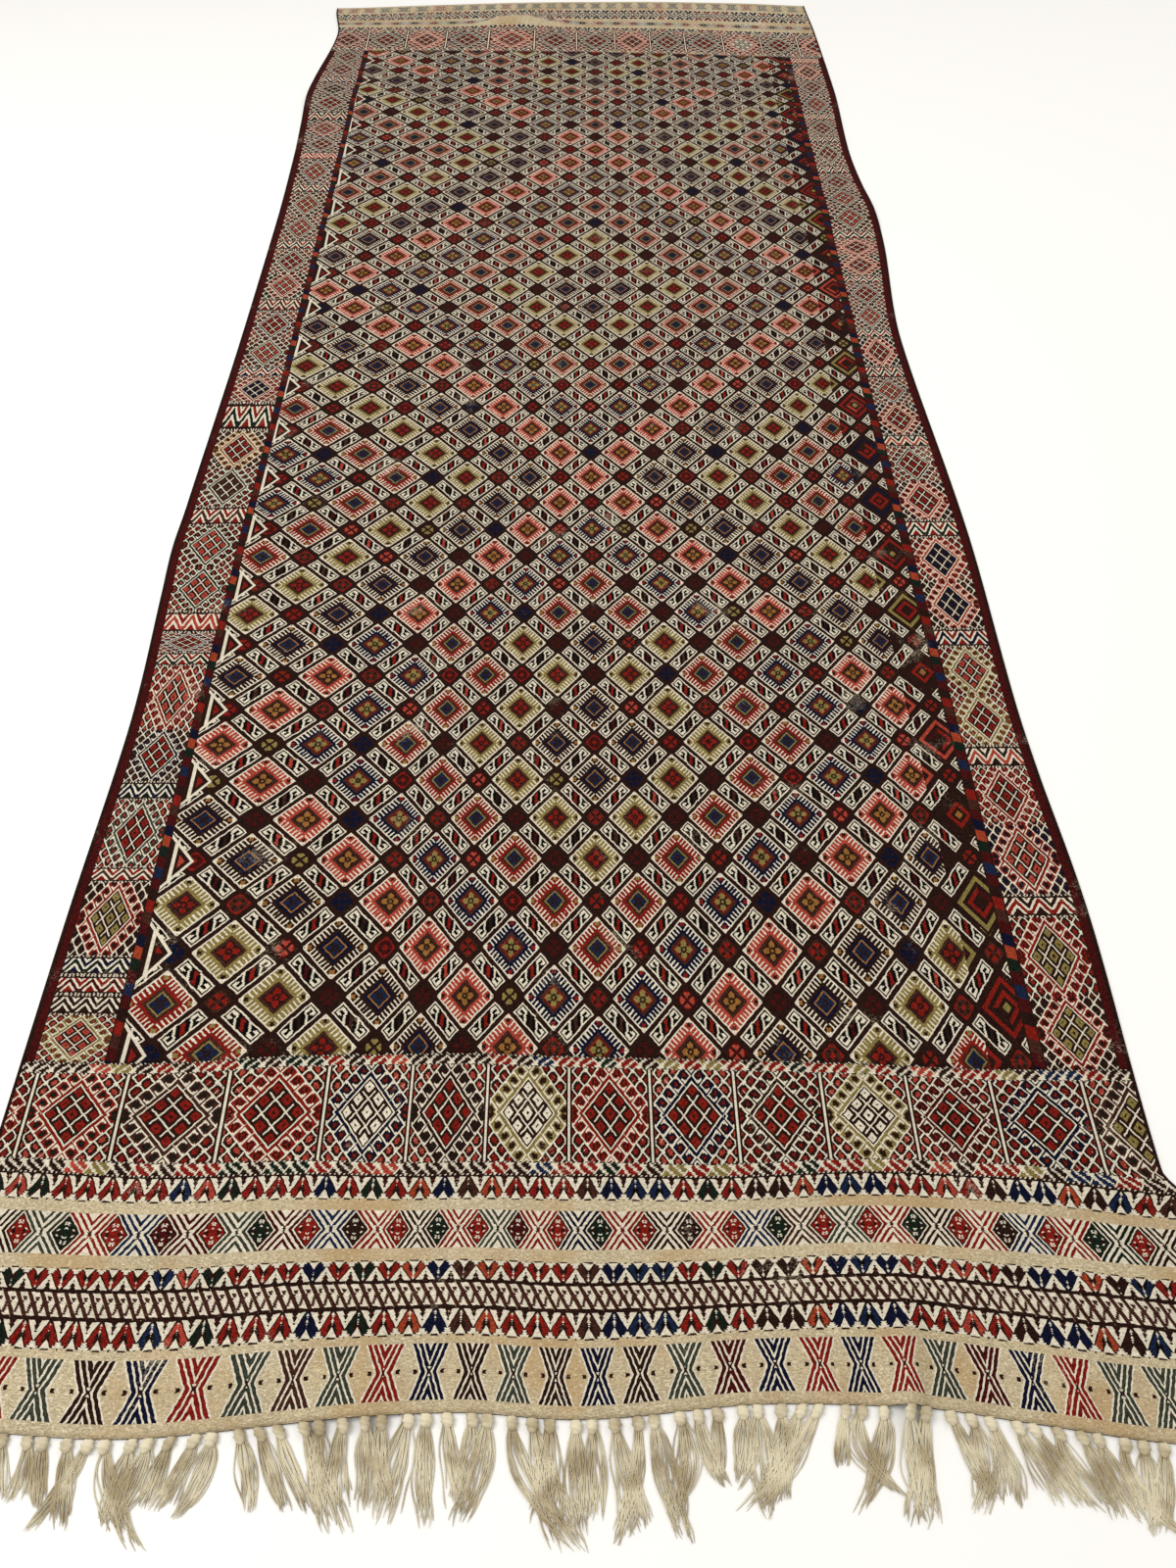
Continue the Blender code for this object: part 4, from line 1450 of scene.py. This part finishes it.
def closed_tubes(name, points):
    """A piece of closed tubes, from points by tube, ring and side.

    The rings are joined by walls, and each end is a fan on a middle point of its own.
    """
    tubes, rings, sides = points.shape[:3]
    here = np.arange(tubes * rings * sides).reshape(tubes, rings, sides)
    beside = np.roll(here, -1, axis=2)
    walls = np.stack([here[:, 1:], beside[:, 1:], beside[:, :-1], here[:, :-1]], axis=-1).reshape(-1, 4)
    middles = here.size + np.arange(2 * tubes).reshape(2, tubes, 1).repeat(sides, axis=2)
    fans = [np.stack([here[:, 0], beside[:, 0], middles[0]], axis=-1),
            np.stack([beside[:, -1], here[:, -1], middles[1]], axis=-1)]
    ends = [points[:, ring].mean(axis=1) for ring in (0, -1)]
    return new_piece(name, np.concatenate([points.reshape(-1, 3)] + ends), walls,
                     np.concatenate(fans).reshape(-1, 3))


def rings_along(paths, radii, sides):
    """The points of round tubes along paths: at each step a circle square to the path's run.

    A circle's points go round by the cosine and sine of their angle, in a level direction and in one
    square to it. There is one radius for each step.
    """
    run = np.gradient(paths, axis=1)
    run /= np.linalg.norm(run, axis=2, keepdims=True)
    level = np.cross(run, [0.0, 0.0, 1.0])
    level /= np.linalg.norm(level, axis=2, keepdims=True)
    rise = np.cross(level, run)
    angle = np.linspace(0.0, 2.0 * np.pi, sides, endpoint=False)[:, None]
    circle = np.cos(angle) * level[:, :, None] + np.sin(angle) * rise[:, :, None]
    return paths[:, :, None] + radii[:, None, None] * circle


def tassel_places():
    """Where the tassels stand across the rug: evenly spaced, each a little off its place."""
    places = np.linspace(TASSEL_INSET - SIDES[0].left, SIDES[0].right - TASSEL_INSET, TASSELS)
    return places + TASSEL_DRIFT * np.sin(2.4 * np.arange(TASSELS)) * (np.abs(places) < STEADY_FROM)


def comb(places, name):
    """A value of the comb table at places across the rug."""
    return np.interp(places, column(COMBS, "across"), column(COMBS, name))


def near_edge_place(across):
    """Along and height of the cloth's near edge."""
    along = edge_stray(across, NEAR_EDGE)
    return along, fold_lift(across, along)


def make_fringe_yarns(name, chosen):
    """The loose yarns of some tassels: from the cloth's edge, through the knot, and fanned out.

    A yarn's place across its tassel is its rank times the bundle's width, which opens past the knot
    to the very end or to a bulge, as the tassel is flared. It leans and curls with its tassel, and
    sways by a sine of its own. Its height falls off from the cloth's edge to the floor.
    """
    wander = np.random.default_rng(11)
    places = tassel_places()
    lean = comb(places, "lean") + wander.normal(0.0, LEAN_STRAY, TASSELS)
    reach = np.minimum(comb(places, "reach") * wander.uniform(*REACH_STRAY, TASSELS), MOST_REACH)
    spread = wander.uniform(*SPREAD, TASSELS)
    flare = wander.uniform(0.0, 1.0, TASSELS)
    curl = wander.normal(0.0, CURL_STRAY, TASSELS)
    tassel_values = (places, *near_edge_place(places), np.tan(np.radians(lean)), reach, spread, flare, curl)
    x, edge, lift, lean, reach, spread, flare, curl = (
        values[:, None, None] for values in tassel_values)

    shape = (TASSELS, YARNS_TO_A_TASSEL, 1)
    rank = np.linspace(-1.0, 1.0, YARNS_TO_A_TASSEL)[:, None] + wander.normal(0.0, RANK_STRAY, shape)
    length = reach * wander.uniform(*LENGTHS, shape)
    phase = wander.uniform(0.0, 2.0 * np.pi, (2,) + shape)
    sway = wander.uniform(*SWAY, shape)
    lie = wander.uniform(0.0, 1.0, shape)

    past = np.linspace(0.0, 1.0, YARN_STEPS) * (length + KNOT_LENGTH)
    part = np.clip((past - KNOT_LENGTH) / length, 0.0, 1.0)
    waves = np.clip((past - KNOT_LENGTH) / SWAY_DISTANCE, 0.0, 1.0)
    bundle = BUNDLE - WAIST * np.sin(np.pi * np.clip(past / KNOT_LENGTH, 0.0, 1.0))
    opened = flare * part + (1.0 - flare) * 0.75 * np.sin(np.pi * part ** 0.8)
    across = rank * (bundle + spread * reach * opened) + lean * past + curl * past * waves
    across = across + sway * np.sqrt(waves) * np.sin(13.0 * waves + phase[0])
    settle = np.exp(-past / SETTLING)
    height = lift * settle + 0.0010 + 0.0036 * lie * (0.35 + 0.65 * settle)
    height = np.maximum(height + 0.0008 * waves * np.sin(16.0 * waves + phase[1]), 0.9 * YARN_RADIUS)
    paths = np.stack([x + across, edge - past, height], axis=-1)[chosen].reshape(-1, YARN_STEPS, 3)
    radii = np.full(YARN_STEPS, YARN_RADIUS)
    radii[[0, -1]] *= [0.3, 0.25]
    return closed_tubes(name, rings_along(paths, radii, YARN_SIDES))


def make_fringe_knots():
    """The tassels' knots: short plump bodies, wound round by raised turns of yarn.

    The section is an oval, wider than high, that swells from the cloth's edge and draws in at the
    far end. Its radius rises and falls with a wave that runs round and along it.
    """
    wander = np.random.default_rng(5)
    places = tassel_places()[:, None, None]
    edge, lift = near_edge_place(places)
    t = np.linspace(0.0, 1.0, KNOT_RINGS)[:, None]
    angle = np.linspace(0.0, 2.0 * np.pi, KNOT_SIDES, endpoint=False)
    swell = 0.62 + 0.38 * np.sin(np.pi * np.clip(t * 1.05, 0.0, 1.0) ** 0.8)
    swell = swell * np.sqrt(np.clip(1.0 - t ** 9, 0.02, 1.0))
    turn = 2.0 * np.pi * TURNS * t + angle + wander.uniform(0.0, 6.0, places.shape)
    size = swell * (1.0 + TURN_RELIEF * np.sin(turn)) * wander.uniform(0.88, 1.06, places.shape)
    past = t * KNOT_LENGTH
    x = places + np.tan(np.radians(comb(places, "lean"))) * past + KNOT_HALF_WIDTH * size * np.cos(angle)
    y = edge - past - KNOT_GAP
    z = lift * (1.0 - 0.6 * t) + 0.5 * KNOT_HEIGHT * (1.0 + size * np.sin(angle)) * (0.75 + 0.25 * swell)
    return closed_tubes("fringe_knots", np.stack(np.broadcast_arrays(x, y, z), axis=-1))


CLEAN_WOOL = (206, 196, 169)
DIRTY_WOOL = (162, 147, 117)
HAIRS = Grain(700.0, 3.0, 0.6)
DIRT = Grain(22.0, 3.0, 0.5)
HAIR_RELIEF = 0.0004
HAIR_STRENGTH = 0.6


def make_fringe_wool():
    """Undyed warp wool, with fine hairs along it and grey-brown dirt in patches."""
    material, tree, shader = new_material("undyed_warp_wool")
    x, y, _ = split_threads(tree, new_node(tree, "TexCoord").outputs["Object"])
    hairs = noise(tree, x, y, HAIRS)
    dirt = smooth_step(noise(tree, x, y, DIRT), 0.35, 0.7)
    colour = mix_colour(tree, dirt, linear_colour(*CLEAN_WOOL), linear_colour(*DIRTY_WOOL))
    shade = grey(tree, 0.72 + 0.5 * hairs)
    tie(shader.inputs["Base Color"], mix_colour(tree, 1.0, colour, shade, "MULTIPLY"))
    tie(shader.inputs["Normal"], bumped(tree, hairs, HAIR_RELIEF, HAIR_STRENGTH))
    shader.inputs["Roughness"].default_value = 0.92
    return material


# ---- the stage --------------------------------------------------------------------------------------
IMAGE_HEIGHT = 1600.0           # pixels, the image's long side
FOCAL_PIXELS = 1200.0
SENSOR = 36.0
CAMERA_PLACE = (0.0098, -0.2745, 1.5744)        # rug coordinates
CAMERA_TILT = math.radians(52.02)               # below the horizon
CAMERA_YAW = math.radians(0.5)                  # to the right
FLOOR_COLOUR = linear_colour(226, 224, 220)
FLOOR_HALF = 14.0
SKY_COLOUR = (1.0, 0.99, 0.97, 1.0)
SKY_STRENGTH = 0.85

Lamp = namedtuple("Lamp", "name place size power")
LAMPS = [
    Lamp("key", (-2.6, -1.2, 4.2), 3.0, 160.0),
    Lamp("fill", (3.4, 1.6, 4.6), 4.0, 70.0),
]
LAMP_AIM = (0.0, 0.4, 0.0)


def make_stage():
    """A pale floor, two large soft lights from above, and an even pale sky."""
    floor_mesh = bpy.data.meshes.new("floor")
    corners = [(x * FLOOR_HALF, y * FLOOR_HALF, 0.0) for x, y in ((-1, -1), (1, -1), (1, 1), (-1, 1))]
    floor_mesh.from_pydata(corners, [], [(0, 1, 2, 3)])
    material = bpy.data.materials.new("pale_floor")
    material.use_nodes = True
    shader = material.node_tree.nodes["Principled BSDF"]
    shader.inputs["Base Color"].default_value = FLOOR_COLOUR
    shader.inputs["Roughness"].default_value = 0.8
    shader.inputs["Specular IOR Level"].default_value = 0.2
    floor_mesh.materials.append(material)
    add_object("floor", floor_mesh)
    for lamp in LAMPS:
        light = bpy.data.lights.new(lamp.name, "AREA")
        light.shape = "DISK"
        light.size = lamp.size
        light.energy = lamp.power
        lamp_object = add_object(lamp.name, light)
        lamp_object.location = lamp.place
        aim = np.array(LAMP_AIM) - np.array(lamp.place)
        lamp_object.rotation_euler = (math.atan2(math.hypot(aim[0], aim[1]), -aim[2]), 0.0,
                                      math.atan2(aim[1], aim[0]) - math.pi / 2)
    world = bpy.data.worlds.new("even_sky")
    world.use_nodes = True
    background = world.node_tree.nodes["Background"]
    background.inputs["Color"].default_value = SKY_COLOUR
    background.inputs["Strength"].default_value = SKY_STRENGTH
    bpy.context.scene.world = world
    bpy.context.scene.view_settings.view_transform = "Standard"


def make_camera():
    """The camera at the photograph's place over the near end, looking down along the rug."""
    data = bpy.data.cameras.new("camera")
    data.sensor_width = SENSOR
    data.lens = SENSOR * FOCAL_PIXELS / IMAGE_HEIGHT
    data.clip_start = 0.05
    camera = add_object("camera", data)
    camera.location = tuple(np.array(CAMERA_PLACE) + RUG_PLACE)
    camera.rotation_euler = (math.pi / 2 - CAMERA_TILT, 0.0, -CAMERA_YAW)
    bpy.context.scene.camera = camera


# ---- assembly ---------------------------------------------------------------------------------------
low_corner, high_corner = (np.array(corner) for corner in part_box("cloth"))
RUG_PLACE = np.array([low_corner[0] + WIDEST_LEFT, high_corner[1] - FURTHEST_ALONG, 0.0])

make_camera()
make_stage()

LENGTH_NAMES = ["cloth_near_end", "cloth_near_field", "cloth_middle_field", "cloth_far_field",
                "cloth_far_end"]
lengths = [make_length(name, low, high)
           for name, low, high in zip(LENGTH_NAMES, LENGTH_ENDS[:-1], LENGTH_ENDS[1:])]
fringe_wool = make_fringe_wool()
fringe = [make_fringe_yarns("fringe_yarns_left", slice(0, TASSELS // 2)),
          make_fringe_yarns("fringe_yarns_right", slice(TASSELS // 2, TASSELS)),
          make_fringe_knots()]
for piece in fringe:
    piece.data.materials.append(fringe_wool)
    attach(piece, "root")
    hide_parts("fringe")
for piece, low, high in zip(lengths, LENGTH_ENDS[:-1], LENGTH_ENDS[1:]):
    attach(piece, "root")
    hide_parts("cloth")
